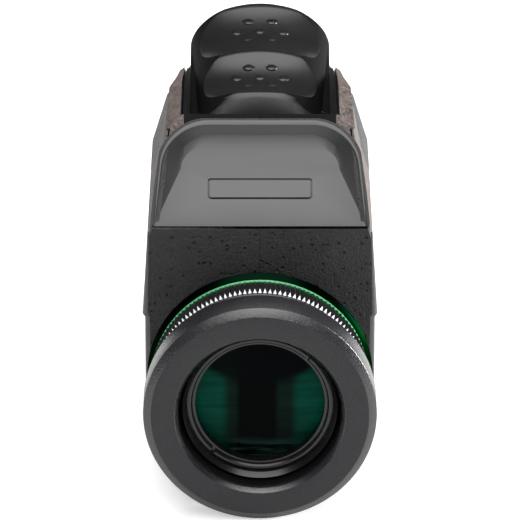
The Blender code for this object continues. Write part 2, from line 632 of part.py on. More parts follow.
def screw_places():
    """Station, height, boss radius, boss end and head seat of the four screws across the seam."""
    places = []
    climb = (UPPER_SCREW_HEIGHT - LEDGE_HEIGHT) / (FLANK_MID_HEIGHT - LEDGE_HEIGHT)
    for station in (SCREW_REAR, SCREW_FRONT):
        ledge, mid, shoulder, top = flank(station)
        boss_end = ledge + (mid - ledge) * climb - SKIN_THICKNESS - FIT - BODY_WALL / 2.0
        places.append((station, UPPER_SCREW_HEIGHT, UPPER_BOSS_RADIUS, boss_end, UPPER_SCREW_SEAT))
        places.append((station, LOWER_SCREW_HEIGHT, LOWER_BOSS_RADIUS, LOWER_BOSS_END,
                       LOWER_SCREW_SEAT))
    return places


def build_trim():
    """The side skins, and the rear panel with its bare recess."""
    for name, side in (("side_skin_left", -1.0), ("side_skin_right", 1.0)):
        finish(name, skin_mesh(side), SKIN)
    panel = panel_solid("rear_panel", 0.0, PANEL_THICKNESS, 0.0, PANEL)
    recess = box("plate_tool", (-PLATE_HALF_WIDTH, PLATE_FOOT, -PLATE_DEPTH),
                 (PLATE_HALF_WIDTH, PLATE_FOOT + PLATE_HEIGHT, PANEL_THICKNESS), PANEL)
    recess.location = panel_point(0.0)
    recess.rotation_euler = (PANEL_LEAN, 0.0, 0.0)
    cut(panel, recess)


def build_eyecup():
    """The cup with its sleeve, the twist ring and the accent ring."""
    inner_chamfer = EYECUP_CHAMFER / 2.0
    turned("eyecup", [(EYECUP_OPENING + inner_chamfer, 0.0), (EYECUP_RADIUS - EYECUP_CHAMFER, 0.0),
                      (EYECUP_RADIUS, EYECUP_CHAMFER), (EYECUP_RADIUS, EYECUP_LENGTH),
                      (EYECUP_SEAT, EYECUP_LENGTH), (EYECUP_SEAT, EYECUP_LIP),
                      (EYECUP_OPENING, EYECUP_LIP),
                      (EYECUP_OPENING, inner_chamfer)], RUBBER, SEGMENTS)
    sleeve = tube_outline(SLEEVE_BORE, SLEEVE_RADIUS, EYECUP_LIP + FIT, BARREL_FLANGE - FIT)
    turned("eyecup_sleeve", sleeve, BLACK_METAL, SEGMENTS)
    ring = RING_BORE + RING_WALL
    turned("eyecup_ring", [(RING_BORE, 0.0), (ring - RING_CHAMFER, 0.0), (ring, RING_CHAMFER),
                           (ring, RING_WIDTH), (RING_BORE, RING_WIDTH)],
           BLACK_METAL, SEGMENTS, RING_FRONT)
    turned("accent_ring", tube_outline(RING_BORE, RING_BORE + ACCENT_WALL, 0.0, ACCENT_WIDTH),
           GREEN, SEGMENTS, ACCENT_FRONT)


def build_eyepiece():
    """The fixed eyepiece: its housing, barrel and nose ring, and the lens stack inside."""
    turned("eyepiece_housing", [(BOSS_BORE, RING_FRONT), (BOSS_RADIUS, RING_FRONT),
                                (BOSS_RADIUS, HOUSING_FLANGE), (FLANGE_RADIUS, HOUSING_FLANGE),
                                (FLANGE_RADIUS, HOUSING_FLANGE + FLANGE_WIDTH),
                                (BOSS_BORE, HOUSING_FLANGE + FLANGE_WIDTH)], BLACK_METAL, SEGMENTS)
    turned("eyepiece_barrel", [(BARREL_BORE, NOSE_SHOULDER + FIT), (BARREL_RADIUS, NOSE_SHOULDER + FIT),
                               (BARREL_RADIUS, BARREL_FLANGE), (FLANGE_RADIUS, BARREL_FLANGE),
                               (FLANGE_RADIUS, BARREL_FLANGE + FLANGE_WIDTH),
                               (BARREL_RADIUS, BARREL_FLANGE + FLANGE_WIDTH),
                               (BARREL_RADIUS, BARREL_BACK), (BARREL_BORE, BARREL_BACK)], BLACK_METAL)
    spigot = BARREL_BORE - FIT
    spigot_end = NOSE_FLANGE + NOSE_SPIGOT
    turned("nose_ring", [(NOSE_MOUTH, 0.0), (NOSE_RADIUS, 0.0), (NOSE_RADIUS, NOSE_FLANGE),
                         (spigot, NOSE_FLANGE), (spigot, spigot_end), (NOSE_BORE, spigot_end),
                         (NOSE_BORE, NOSE_CONE)], BLACK_METAL, SEGMENTS, NOSE_FRONT)
    stack = EYE_LENS_RADIUS
    lens("eye_lens", stack, EYE_LENS_EDGE, EYE_LENS_FRONT_SAG, EYE_LENS_BACK_SAG, EYE_LENS_FRONT)
    lens("eyepiece_doublet", stack, DOUBLET_EDGE, 0.0, 0.0, DOUBLET_FRONT)
    lens("field_lens", stack, FIELD_LENS_EDGE, FIELD_LENS_SAG, 0.0, FIELD_LENS_FRONT)
    for name, bore, length, station in (
            ("lens_spacer", stack - SPACER_WALL, SPACER_LENGTH, SPACER_FRONT),
            ("field_spacer", stack - SPACER_WALL, FIELD_SPACER_LENGTH, FIELD_SPACER_FRONT),
            ("field_stop", FIELD_STOP_BORE, FIELD_STOP_WIDTH, FIELD_STOP_FRONT)):
        turned(name, tube_outline(bore, stack, 0.0, length), BLACK_METAL, INNER_SEGMENTS, station)


def prism(name, outline):
    """A glass block: an outline of (station, height) points given the prisms' width."""
    work = loft([[(x, y, z) for y, z in outline] for x in (-PRISM_HALF_WIDTH, PRISM_HALF_WIDTH)])
    return finish(name, work, GLASS)


def build_prisms():
    """The prism cage, the two prisms in it and the clip that holds them down."""
    plate = tube_outline(CAGE_APERTURE, CAGE_RADIUS, 0.0, CAGE_PLATE)
    cage = turned("prism_cage", plate, BLACK_METAL, INNER_SEGMENTS, CAGE_REAR)
    far_plate = turned("cage_plate_tool", plate, BLACK_METAL, INNER_SEGMENTS, CAGE_FRONT - CAGE_PLATE)
    overlap = CAGE_PLATE / 2.0
    floor_top = -PRISM_HALF_HEIGHT - FIT
    floor = box("cage_floor_tool", (-PRISM_HALF_WIDTH, CAGE_REAR + overlap, floor_top - CAGE_FLOOR),
                (PRISM_HALF_WIDTH, CAGE_FRONT - overlap, floor_top), BLACK_METAL)
    join(cage, floor)
    join(cage, far_plate)
    top = PRISM_HALF_HEIGHT
    gap_top = PRISM_REAR + PRISM_SPLIT
    gap_foot = gap_top + PRISM_SLANT
    prism("half_prism", [(PRISM_REAR, top), (PRISM_REAR, -top), (gap_foot, -top), (gap_top, top)])
    prism("roof_prism", [(gap_top + PRISM_AIR, top), (gap_foot + PRISM_AIR, -top), (PRISM_FRONT, -top),
                         (PRISM_FRONT, top - ROOF_CUT), (PRISM_FRONT - ROOF_CUT, top)])
    box("prism_clip", (-CLIP_HALF_WIDTH, PRISM_REAR, top + FIT),
        (CLIP_HALF_WIDTH, PRISM_FRONT, top + FIT + CLIP_THICKNESS), STEEL)


def lever_height(station):
    """Height of the lever's ridge: two finger grooves between three crests, round at both ends."""
    groove = (LEVER_LENGTH - 2.0 * LEVER_END_ROUND) / 2.0
    along = station - LEVER_REAR - LEVER_END_ROUND
    past = max(-along, along - 2.0 * groove)
    if past > 0.0:
        return LEVER_CREST - LEVER_END_ROUND + sqrt(max(LEVER_END_ROUND ** 2 - past ** 2, 0.0))
    from_middle = along % groove - groove / 2.0
    radius = (groove * groove / 4.0 + GROOVE_DEPTH ** 2) / (2.0 * GROOVE_DEPTH)
    return LEVER_CREST + radius - GROOVE_DEPTH - sqrt(radius * radius - from_middle * from_middle)


def lever_section(station):
    """Outline of the lever at a station: upright feet under a half-round arch."""
    rise = lever_height(station) - LEVER_SPRING
    ring = [(-LEVER_HALF_WIDTH, station, LEVER_FOOT)]
    for step in range(ARCH_STEPS + 1):
        turn = pi * step / ARCH_STEPS
        ring.append((-LEVER_HALF_WIDTH * cos(turn), station, LEVER_SPRING + rise * sin(turn)))
    ring.append((LEVER_HALF_WIDTH, station, LEVER_FOOT))
    return ring


def build_lever():
    """The focus lever, the plate that holds it to the deck, its screws and its arm."""
    start = LEVER_REAR + LEVER_END_ROUND
    ridge = LEVER_LENGTH - 2.0 * LEVER_END_ROUND
    stations = [LEVER_REAR, LEVER_REAR + LEVER_END_STEP]
    stations += [start + ridge * step / RIDGE_STEPS for step in range(RIDGE_STEPS + 1)]
    stations += [LEVER_FRONT - LEVER_END_STEP, LEVER_FRONT]
    lever = finish("focus_lever", loft([lever_section(station) for station in stations]), LEVER)
    join(lever, box("neck_tool", (-NECK_HALF_WIDTH, NECK_REAR, DECK_UNDERSIDE),
                    (NECK_HALF_WIDTH, NECK_FRONT, LEVER_SPRING), LEVER))
    slide = box("slide_plate", (-SLIDE_HALF_WIDTH, NECK_REAR - SLIDE_OVERHANG, SLIDE_FOOT),
                (SLIDE_HALF_WIDTH, NECK_FRONT + SLIDE_OVERHANG, SLIDE_TOP), BLACK_METAL)

    tip = DECK_UNDERSIDE + LEVER_SCREW_REACH
    seat = SLIDE_FOOT - FIT
    head = seat - LEVER_SCREW_HEAD_HEIGHT
    screw = [(0.0, tip), (LEVER_SCREW_RADIUS, tip), (LEVER_SCREW_RADIUS, seat),
             (LEVER_SCREW_HEAD, seat), (LEVER_SCREW_HEAD, head), (0.0, head)]
    hole = rod_outline(LEVER_SCREW_RADIUS + FIT, seat - FIT, tip + FIT)
    for end, station in (("rear", NECK_REAR + LEVER_SCREW_INSET),
                         ("front", NECK_FRONT - LEVER_SCREW_INSET)):
        place = (0.0, station, 0.0)
        finish("lever_screw_" + end, spun(screw, "Z", ROD_SEGMENTS), STEEL, place)
        drill = finish("lever_hole_tool_" + end, spun(hole, "Z", ROD_SEGMENTS), LEVER, place)
        cut(lever, drill)
        cut(slide, drill)

    box("drive_arm", (-ARM_HALF_WIDTH, CELL_CENTRE - ARM_DEPTH / 2.0, PAD_TOP + FIT),
        (ARM_HALF_WIDTH, CELL_CENTRE + ARM_DEPTH / 2.0, SLIDE_FOOT - FIT), BLACK_METAL)


def build_focus_cell():
    """The cell that the arm moves, the lens in it and the two rods it runs on."""
    rear = CELL_CENTRE - CELL_LENGTH / 2.0
    front = CELL_CENTRE + CELL_LENGTH / 2.0
    cell = turned("focus_cell", tube_outline(CELL_BORE, CELL_RADIUS, rear, front), BLACK_METAL)
    wall_middle = CELL_BORE + CELL_WALL / 2.0
    join(cell, box("pad_tool", (-PAD_HALF_WIDTH, rear, wall_middle), (PAD_HALF_WIDTH, front, PAD_TOP),
                   BLACK_METAL))
    ear_end = ROD_OFFSET + ROD_RADIUS + FIT + EAR_WALL
    sides = (("left", -1.0), ("right", 1.0))
    for name, side in sides:
        low, high = sorted((side * wall_middle, side * ear_end))
        join(cell, box("ear_tool_" + name, (low, rear, -EAR_HALF_HEIGHT), (high, front, EAR_HALF_HEIGHT),
                       BLACK_METAL))
    hole = rod_outline(ROD_RADIUS + FIT, rear - FIT, front + FIT)
    rod = rod_outline(ROD_RADIUS, CAGE_FRONT + FIT, OBJECTIVE_BACK - FIT)
    for name, side in sides:
        place = (side * ROD_OFFSET, 0.0, 0.0)
        cut(cell, finish("rod_hole_tool_" + name, spun(hole, "Y", ROD_SEGMENTS), BLACK_METAL, place))
        finish("guide_rod_" + name, spun(rod, "Y", ROD_SEGMENTS), STEEL, place)
    lens("focus_lens", FOCUS_LENS_RADIUS, FOCUS_LENS_EDGE, FOCUS_LENS_SAG, 0.0,
         CELL_CENTRE - FOCUS_LENS_EDGE / 2.0)


def build_objective():
    """The objective: barrel, cemented pair, retainer, bezel and its seal."""
    clear = OBJECTIVE_RADIUS - OBJECTIVE_SHOULDER
    flange_front = OBJECTIVE_BACK + FLANGE_WIDTH
    turned("objective_barrel", [(clear, OBJECTIVE_BACK), (OBJECTIVE_FLANGE, OBJECTIVE_BACK),
                                (OBJECTIVE_FLANGE, flange_front), (OBJECTIVE_OUTER, flange_front),
                                (OBJECTIVE_OUTER, OBJECTIVE_FRONT), (OBJECTIVE_BORE, OBJECTIVE_FRONT),
                                (OBJECTIVE_BORE, LENS_SHOULDER), (clear, LENS_SHOULDER)], BLACK_METAL)
    lens("objective_flint", OBJECTIVE_RADIUS, FLINT_EDGE, 0.0, 0.0, FLINT_BACK)
    lens("objective_crown", OBJECTIVE_RADIUS, CROWN_EDGE, 0.0, CROWN_SAG, CROWN_BACK)
    turned("objective_retainer", tube_outline(clear, OBJECTIVE_RADIUS, 0.0, RETAINER_LENGTH), BLACK_METAL,
           INNER_SEGMENTS, RETAINER_BACK)
    groove = BEZEL_INNER + ORING_SECTION + FIT
    groove_end = ORING_SECTION + FIT
    lip = BEZEL_LENGTH - BEZEL_LIP
    outer = BEZEL_INNER + BEZEL_WALL
    turned("objective_bezel", [(groove, 0.0), (outer, 0.0), (outer, BEZEL_LENGTH - BEZEL_CHAMFER),
                               (outer - BEZEL_CHAMFER, BEZEL_LENGTH), (BEZEL_MOUTH, BEZEL_LENGTH),
                               (BEZEL_BORE, lip), (BEZEL_INNER, lip), (BEZEL_INNER, groove_end),
                               (groove, groove_end)], RUBBER, SEGMENTS, BODY_FRONT + FIT)
    seal = tube_outline(BEZEL_INNER, BEZEL_INNER + ORING_SECTION, 0.0, ORING_SECTION)
    turned("objective_oring", seal, SEAL, INNER_SEGMENTS, BODY_FRONT + FIT)


def build_screws():
    """The four screws across the seam, with their heads on the right."""
    names = ("rear_upper", "rear_lower", "front_upper", "front_lower")
    for name, (along, height, boss, boss_end, seat) in zip(names, screw_places()):
        tip = seat - SCREW_SHANK
        head = seat + SCREW_HEAD_LENGTH
        outline = [(0.0, tip), (SCREW_RADIUS, tip), (SCREW_RADIUS, seat),
                   (SCREW_HEAD_RADIUS, seat), (SCREW_HEAD_RADIUS, head), (0.0, head)]
        screw = spun(outline, "X", ROD_SEGMENTS)
        finish("body_screw_" + name, screw, STEEL, (0.0, along, height))


build_body()
build_trim()
build_eyecup()
build_eyepiece()
build_prisms()
build_lever()
build_focus_cell()
build_objective()
build_screws()
bpy.context.view_layer.update()
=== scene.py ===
# %% [markdown]
# # Dressing a pocket monocular
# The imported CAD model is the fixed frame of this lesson: every piece below is modelled where its solid
# already sits, so nothing has to be fitted afterwards. Lengths are written in millimetres and measured from
# the middle of the eyecup's front edge, as a lathe operator would measure along the tube.

# %% Load the frame
import math

import bmesh
import bpy
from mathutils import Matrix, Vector


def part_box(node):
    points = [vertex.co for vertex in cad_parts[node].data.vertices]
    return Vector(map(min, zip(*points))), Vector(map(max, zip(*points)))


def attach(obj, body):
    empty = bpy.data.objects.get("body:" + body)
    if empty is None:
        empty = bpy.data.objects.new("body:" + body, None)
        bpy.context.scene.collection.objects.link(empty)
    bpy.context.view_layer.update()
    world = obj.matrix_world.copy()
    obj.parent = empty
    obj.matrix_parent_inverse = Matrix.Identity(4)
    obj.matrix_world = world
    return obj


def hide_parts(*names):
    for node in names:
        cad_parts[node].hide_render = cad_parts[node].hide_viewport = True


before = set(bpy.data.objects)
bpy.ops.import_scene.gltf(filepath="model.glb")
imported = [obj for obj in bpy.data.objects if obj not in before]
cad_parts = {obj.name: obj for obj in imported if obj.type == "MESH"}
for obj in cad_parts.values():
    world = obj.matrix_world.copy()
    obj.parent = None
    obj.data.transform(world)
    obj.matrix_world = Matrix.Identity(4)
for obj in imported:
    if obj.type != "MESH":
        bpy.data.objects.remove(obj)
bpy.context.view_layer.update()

MM = 0.001
NEAR = 1e-6  # metres
SLACK = 0.1  # millimetres
cup_low, cup_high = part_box("eyecup")
CUP_FRONT = cup_low.y
AXIS_HEIGHT = (cup_low.z + cup_high.z) / 2


def spot(x, station, height):
    """A point in metres, from millimetres to the side, along the tube and above its axis."""
    return Vector((x * MM, CUP_FRONT + station * MM, AXIS_HEIGHT + height * MM))


print("the frame holds", len(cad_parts), "nodes, axis at", round(AXIS_HEIGHT / MM, 2), "mm")

# %% [markdown]
# ## Handling meshes in code
# By hand, one clicks a piece, enters edit mode and selects faces by eye. In a script the same is done by
# asking each face, edge or vertex where it is, so these helpers choose one piece, open its mesh and pick the
# parts that pass a test.

# %% Choosing and picking


def choose_none():
    """Leaves edit mode with nothing selected, before a primitive is added."""
    if bpy.context.object and bpy.context.object.mode != "OBJECT":
        bpy.ops.object.mode_set(mode="OBJECT")
    bpy.ops.object.select_all(action="DESELECT")


def choose(piece):
    """Leaves edit mode and makes one piece the only selected and active one."""
    choose_none()
    piece.select_set(True)
    bpy.context.view_layer.objects.active = piece


def open_mesh(piece, action="DESELECT"):
    """Enters edit mode on one piece with nothing selected, or with all of it."""
    choose(piece)
    bpy.ops.object.mode_set(mode="EDIT")
    bpy.ops.mesh.select_mode(type="VERT")
    bpy.ops.mesh.select_all(action=action)


def pick(piece, kind, test):
    """In edit mode, selects only the parts of one kind that pass the test, and counts them."""
    bpy.ops.mesh.select_mode(type=kind)
    bpy.ops.mesh.select_all(action="DESELECT")
    mesh = bmesh.from_edit_mesh(piece.data)
    parts = {"VERT": mesh.verts, "EDGE": mesh.edges, "FACE": mesh.faces}[kind]
    found = [part for part in parts if test(part)]
    for part in found:
        part.select_set(True)
    mesh.select_flush_mode()
    bmesh.update_edit_mesh(piece.data)
    return len(found)


def face_outwards():
    """In edit mode, selects all and turns every face outwards."""
    bpy.ops.mesh.select_all(action="SELECT")
    bpy.ops.mesh.normals_make_consistent(inside=False)


def seal(piece, gap=0.002):
    """Merges doubled points, turns all faces outwards and goes back to object mode."""
    open_mesh(piece, "SELECT")
    bpy.ops.mesh.remove_doubles(threshold=gap * MM)
    face_outwards()
    bpy.ops.object.mode_set(mode="OBJECT")


print("helpers to choose, open, pick and seal are ready")

# %% Shaping helpers


def placed(name):
    """Names the primitive just added and writes its place, turn and scale into its mesh."""
    piece = bpy.context.object
    piece.name = piece.data.name = name
    bpy.ops.object.transform_apply(location=True, rotation=True, scale=True)
    return piece


def block(size, place, turn=(0, 0, 0)):
    """A block of a size in millimetres, with its place and turn written into its mesh."""
    choose_none()
    bpy.ops.mesh.primitive_cube_add(size=1, location=place, rotation=turn, scale=[side * MM for side in size])
    return placed("block")


def extrude(x, y, z):
    """In edit mode, extrudes what is selected by so many millimetres."""
    bpy.ops.mesh.extrude_region_move(TRANSFORM_OT_translate={"value": (x * MM, y * MM, z * MM)})


def round_edges(piece, width, angle=25):
    """Rounds every edge sharper than an angle, as moulds and lathes leave them."""
    choose(piece)
    step = piece.modifiers.new("rounded_edges", "BEVEL")
    step.width = width * MM
    step.segments = 2
    step.limit_method = "ANGLE"
    step.angle_limit = math.radians(angle)
    bpy.ops.object.modifier_apply(modifier=step.name)


def cut(piece, tool, operation="DIFFERENCE"):
    """Cuts a tool out of a piece, or welds it on, and deletes the tool."""
    choose(piece)
    step = piece.modifiers.new("shaped", "BOOLEAN")
    step.operation = operation
    step.solver = "EXACT"
    step.object = tool
    bpy.ops.object.modifier_apply(modifier=step.name)
    bpy.data.objects.remove(tool)


print("helpers to add, extrude, round and cut are ready")

# %% Finishing helpers


def give_looks(piece, *looks):
    """Gives a piece the finishes that its faces may have. The first is on all of them."""
    piece.data.materials.clear()
    for look in looks:
        piece.data.materials.append(look)


def assign(piece, index):
    """In edit mode, gives the selected faces one of the piece's finishes."""
    piece.active_material_index = index
    bpy.ops.object.material_slot_assign()


def paint(piece, index, test):
    """In edit mode, gives the faces that pass a test one of the piece's finishes, and counts them."""
    count = pick(piece, "FACE", test)
    assign(piece, index)
    return count


def dress(piece, node, body, material, angle=35):
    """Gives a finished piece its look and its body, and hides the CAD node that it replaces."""
    choose(piece)
    bpy.ops.object.shade_smooth_by_angle(angle=math.radians(angle))
    if not piece.data.materials:
        piece.data.materials.append(material)
    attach(piece, body)
    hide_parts(node)
    print(piece.name, "has", len(piece.data.polygons), "faces")


print("helpers to paint and dress are ready")

# %% [markdown]
# ## Turned rings
# Half of this object is lathe work: cup, rings and lenses. A ring starts as a circle; extruding the circle
# and scaling it walks round the section, and bridging the two open ends closes it. That is quicker to
# read than a spun curve, and every step keeps an exact radius and station.

# %% The lathe


def turned(name, outline, segments=128, poles=None):
    """Turns an outline of (radius, station) points about the axis.

    A ring's outline runs once round its section. A lens gives the stations of its two poles instead."""
    choose_none()
    radius, station = outline[0]
    bpy.ops.mesh.primitive_circle_add(
        vertices=segments, radius=radius * MM, location=spot(0, station, 0), rotation=(math.pi / 2, 0, 0)
    )
    piece = placed(name)
    open_mesh(piece, "SELECT")
    for next_radius, next_station in outline[1:]:
        extrude_ring(next_radius / radius, next_station - station, next_station)
        radius, station = next_radius, next_station
    if poles:
        close_pole(piece, outline[-1][1], poles[1])
        close_pole(piece, outline[0][1], poles[0])
    else:
        bpy.ops.mesh.select_all(action="DESELECT")
        bpy.ops.mesh.select_non_manifold()
        bpy.ops.mesh.bridge_edge_loops()
    seal(piece)
    return piece


def extrude_ring(scale, step, station):
    """Extrudes the selected ring along the tube and scales it about the axis."""
    extrude(0, step, 0)
    bpy.ops.transform.resize(value=(scale, 1, scale), center_override=spot(0, station, 0))


def close_pole(piece, station, pole):
    """Draws an open ring together into one point on the axis."""
    place = spot(0, station, 0).y
    pick(piece, "VERT", lambda point: point.is_boundary and abs(point.co.y - place) < NEAR)
    extrude(0, pole - station, 0)
    bpy.ops.mesh.merge(type="CENTER")


print("the lathe is ready")

# %% [markdown]
# ## Shared surface effects
# Moulded rubber and plastic are never one flat tone. Two effects are used again and again here: a fine grain
# with slow clouds in it, and scattered small pits. Each is built once as a node group that puts out values
# only, and each material then uses them with its own sizes.

# %% Node helpers


def new_group(name, inputs, outputs):
    """An empty shader node group with float inputs (name: default) and named outputs."""
    group = bpy.data.node_groups.new(name, "ShaderNodeTree")
    for socket, value in inputs.items():
        made = group.interface.new_socket(socket, in_out="INPUT", socket_type="NodeSocketFloat")
        made.default_value = value
    for socket in outputs:
        group.interface.new_socket(socket, in_out="OUTPUT", socket_type="NodeSocketFloat")
    nodes = group.nodes
    return group, nodes.new("NodeGroupInput"), nodes.new("NodeGroupOutput")


def add(tree, kind, links=None, inputs=None, **settings):
    """Adds a node, sets its options and input values, and links sockets into its inputs."""
    node = tree.nodes.new(kind)
    for name, value in settings.items():
        setattr(node, name, value)
    for name, value in (inputs or {}).items():
        node.inputs[name].default_value = value
    for name, socket in (links or {}).items():
        tree.links.new(socket, node.inputs[name])
    return node


def maths(tree, operation, first, second):
    """The output of a maths node; each of its two inputs is a socket or a number."""
    node = tree.nodes.new("ShaderNodeMath")
    node.operation = operation
    for socket, value in zip(node.inputs, (first, second)):
        if isinstance(value, (int, float)):
            socket.default_value = value
        else:
            tree.links.new(value, socket)
    return node.outputs[0]


def ramp(tree, value, source, target, smooth=False):
    """A value carried from one range to another and held at its ends."""
    limits = {"From Min": source[0], "From Max": source[1], "To Min": target[0], "To Max": target[1]}
    kind = "SMOOTHSTEP" if smooth else "LINEAR"
    node = add(tree, "ShaderNodeMapRange", {"Value": value}, limits, interpolation_type=kind)
    return node.outputs["Result"]


def mixed(tree, share, first, second):
    """A colour between two others; each of them is a socket or three numbers."""
    node = add(tree, "ShaderNodeMix", {"Factor": share}, data_type="RGBA")
    for socket, value in zip((node.inputs[6], node.inputs[7]), (first, second)):
        if isinstance(value, tuple):
            socket.default_value = (*value, 1)
        else:
            tree.links.new(value, socket)
    return node.outputs[2]


def new_look(name, values):
    """A new material with its node tree and its Principled shader, whose named inputs get values."""
    material = bpy.data.materials.new(name)
    material.use_nodes = True
    shader = material.node_tree.nodes["Principled BSDF"]
    for socket, value in values.items():
        shader.inputs[socket].default_value = value
    return material, material.node_tree, shader


print("helpers for shader nodes are ready")

# %% Grain and pit groups
PIT_STEEP = 4.5


def noise(tree, place, scale, detail, roughness):
    """The value of a noise texture whose scale is a socket."""
    links = {"Vector": place, "Scale": scale}
    node = add(tree, "ShaderNodeTexNoise", links, {"Detail": detail, "Roughness": roughness})
    return node.outputs["Fac"]


def make_grain():
    """Fine grain (Height) and a mix of grain and slow clouds (Tone), both around one half."""
    sizes = {"Grain": 2500, "Cloud": 120, "Clouding": 0.5}
    group, source, result = new_group("moulded_grain", sizes, ["Tone", "Height"])
    place = add(group, "ShaderNodeTexCoord").outputs["Object"]
    grain = noise(group, place, source.outputs["Grain"], detail=3.0, roughness=0.6)
    cloud = noise(group, place, source.outputs["Cloud"], detail=4.0, roughness=0.55)
    blend = add(group, "ShaderNodeMix", {"Factor": source.outputs["Clouding"], "A": grain, "B": cloud})
    group.links.new(blend.outputs["Result"], result.inputs["Tone"])
    group.links.new(grain, result.inputs["Height"])
    return group


def make_pits():
    """A mask of small round pits below a ceiling, one in some of the cells of a Voronoi pattern."""
    sizes = {"Spacing": 900, "Radius": 0.25, "Share": 0.3, "Ceiling": 1.0}
    group, source, result = new_group("small_pits", sizes, ["Mask"])
    place = add(group, "ShaderNodeTexCoord").outputs["Object"]
    cells = add(group, "ShaderNodeTexVoronoi", {"Vector": place, "Scale": source.outputs["Spacing"]})
    edge = maths(group, "SUBTRACT", source.outputs["Radius"], cells.outputs["Distance"])
    depth = add(group, "ShaderNodeMath", {0: edge}, {1: PIT_STEEP}, operation="MULTIPLY", use_clamp=True)
    chance = add(group, "ShaderNodeSeparateColor", {"Color": cells.outputs["Color"]}).outputs["Red"]
    taken = maths(group, "LESS_THAN", chance, source.outputs["Share"])
    height = add(group, "ShaderNodeSeparateXYZ", {"Vector": place}).outputs["Z"]
    below = maths(group, "LESS_THAN", height, source.outputs["Ceiling"])
    mask = maths(group, "MULTIPLY", maths(group, "MULTIPLY", depth.outputs[0], taken), below)
    group.links.new(mask, result.inputs["Mask"])
    return group


GRAIN = make_grain()
PITS = make_pits()
print("groups:", GRAIN.name, PITS.name)

# %% [markdown]
# ## Finishes
# A finish starts from plain values on one Principled shader. Grain then varies the tone between two near
# shades, spreads the roughness and lifts a small bump, so that the surface still reads as moulded or turned
# when the light moves.

# %% One finish from grain
BLUE_TRACE = 1.04


def finish(name, dark, light, rough, bump, grain, metallic=0.0, specular=0.5, pits=None, contrast=(0.3, 0.7)):
    """A grained finish: tone runs from dark to light, roughness over a range, bump in millimetres.

    Pits, if any, are given as spacing per metre, radius, share, ceiling in metres and depth."""
    material, tree, shader = new_look(name, {"Metallic": metallic, "Specular IOR Level": specular})
    sizes = dict(zip(("Grain", "Cloud", "Clouding"), grain))
    texture = add(tree, "ShaderNodeGroup", inputs=sizes, node_tree=GRAIN)
    tone, height = texture.outputs["Tone"], texture.outputs["Height"]
    if pits:
        spacing, radius, share, ceiling, deep = pits
        sizes = {"Spacing": spacing, "Radius": radius, "Share": share, "Ceiling": ceiling}
        mask = add(tree, "ShaderNodeGroup", inputs=sizes, node_tree=PITS).outputs["Mask"]
        height = maths(tree, "SUBTRACT", height, maths(tree, "MULTIPLY", mask, deep))
        # Each pit also darkens the tone: painted shade in its hollow, on top of its bump.
        tone = maths(tree, "SUBTRACT", tone, mask)
    tree.links.new(mixed(tree, ramp(tree, tone, contrast, (0, 1)), dark, light), shader.inputs["Base Color"])
    tree.links.new(ramp(tree, tone, contrast, rough), shader.inputs["Roughness"])
    relief = add(tree, "ShaderNodeBump", {"Height": height}, {"Strength": 1.0, "Distance": bump * MM})
    tree.links.new(relief.outputs["Normal"], shader.inputs["Normal"])
    return material


def grey(value):
    """A neutral colour with a trace of blue, as black mouldings have."""
    return (value, value, value * BLUE_TRACE)


print("a finish can now be mixed from grain and pits")

# %% Mix the finishes
PIT_TOP = AXIS_HEIGHT + 28.5 * MM
GREEN_SHEEN = (0.05, 0.5, 0.25, 1)
rubber = finish(
    "cup_rubber", (0.0085, 0.008, 0.0095), (0.017, 0.016, 0.019), (0.20, 0.28), 0.08, (3000, 160, 0.15),
    specular=0.85,
)
cup_face = finish(
    "cup_face_rubber", (0.006, 0.0055, 0.007), (0.020, 0.019, 0.022), (0.40, 0.52), 0.16, (2600, 160, 0.1),
    specular=0.4,
)
shell = finish(
    "stippled_shell", grey(0.007), grey(0.028), (0.40, 0.56), 0.30, (2400, 120, 0.2), specular=0.4,
    pits=(1000, 0.36, 0.32, PIT_TOP, 1.6),
)
# Smoother and lighter grey for the rounded rear corners: the lighter grey is a painted highlight.
smooth_edge_painted_highlight = finish("smooth_shell_edge", grey(0.035), grey(0.055), (0.30, 0.38), 0.02, (3000, 160, 0.4))
plate = finish("smooth_panel", grey(0.007), grey(0.010), (0.36, 0.42), 0.010, (4200, 90, 0.6), specular=0.82)
hide = finish(
    "side_skin_rubber", (0.022, 0.016, 0.014), (0.150, 0.115, 0.100), (0.5, 0.75), 0.30, (2000, 500, 0.35),
    contrast=(0.38, 0.64),
)
slider = finish(
    "lever_plastic", grey(0.005), grey(0.008), (0.28, 0.32), 0.012, (3600, 140, 0.5), specular=0.52
)
# A darker, almost unreflecting copy of the lever plastic for its two sides: painted shade.
slider_side_painted_shade = finish(
    "lever_side_painted_shade", grey(0.004), grey(0.006), (0.6, 0.7), 0.012, (3600, 140, 0.5), specular=0.03
)
black_metal = finish(
    "black_anodised", grey(0.008), grey(0.014), (0.32, 0.40), 0.006, (4500, 200, 0.5), specular=0.65
)
nose_black = finish(
    "nose_ring_black", grey(0.004), grey(0.007), (0.22, 0.28), 0.004, (4500, 200, 0.5), specular=0.45
)
# Bare cut metal for the knurl's tooth ends, painted near white and dull so that it shows as a glint from
# every side: partly real, partly a painted glint.
bare_metal_painted_glint = finish("cut_edge_painted_glint", grey(0.80), grey(0.95), (0.30, 0.40), 0.002, (5200, 300, 0.5))
green = finish(
    "green_anodised", (0.0007, 0.0042, 0.0021), (0.001, 0.0056, 0.0028), (0.26, 0.34), 0.002,
    (4800, 200, 0.5), metallic=1.0,
)
green.node_tree.nodes["Principled BSDF"].inputs["Specular Tint"].default_value = GREEN_SHEEN
# Bright green on the ring's narrow front slant: a painted highlight.
green_edge_painted_highlight = finish(
    "green_cut_edge", (0.08, 0.44, 0.17), (0.10, 0.50, 0.20), (0.3, 0.36), 0.002, (4800, 200, 0.5)
)
steel = finish("bright_steel", grey(0.50), grey(0.60), (0.25, 0.34), 0.003, (5000, 300, 0.5), metallic=1.0)
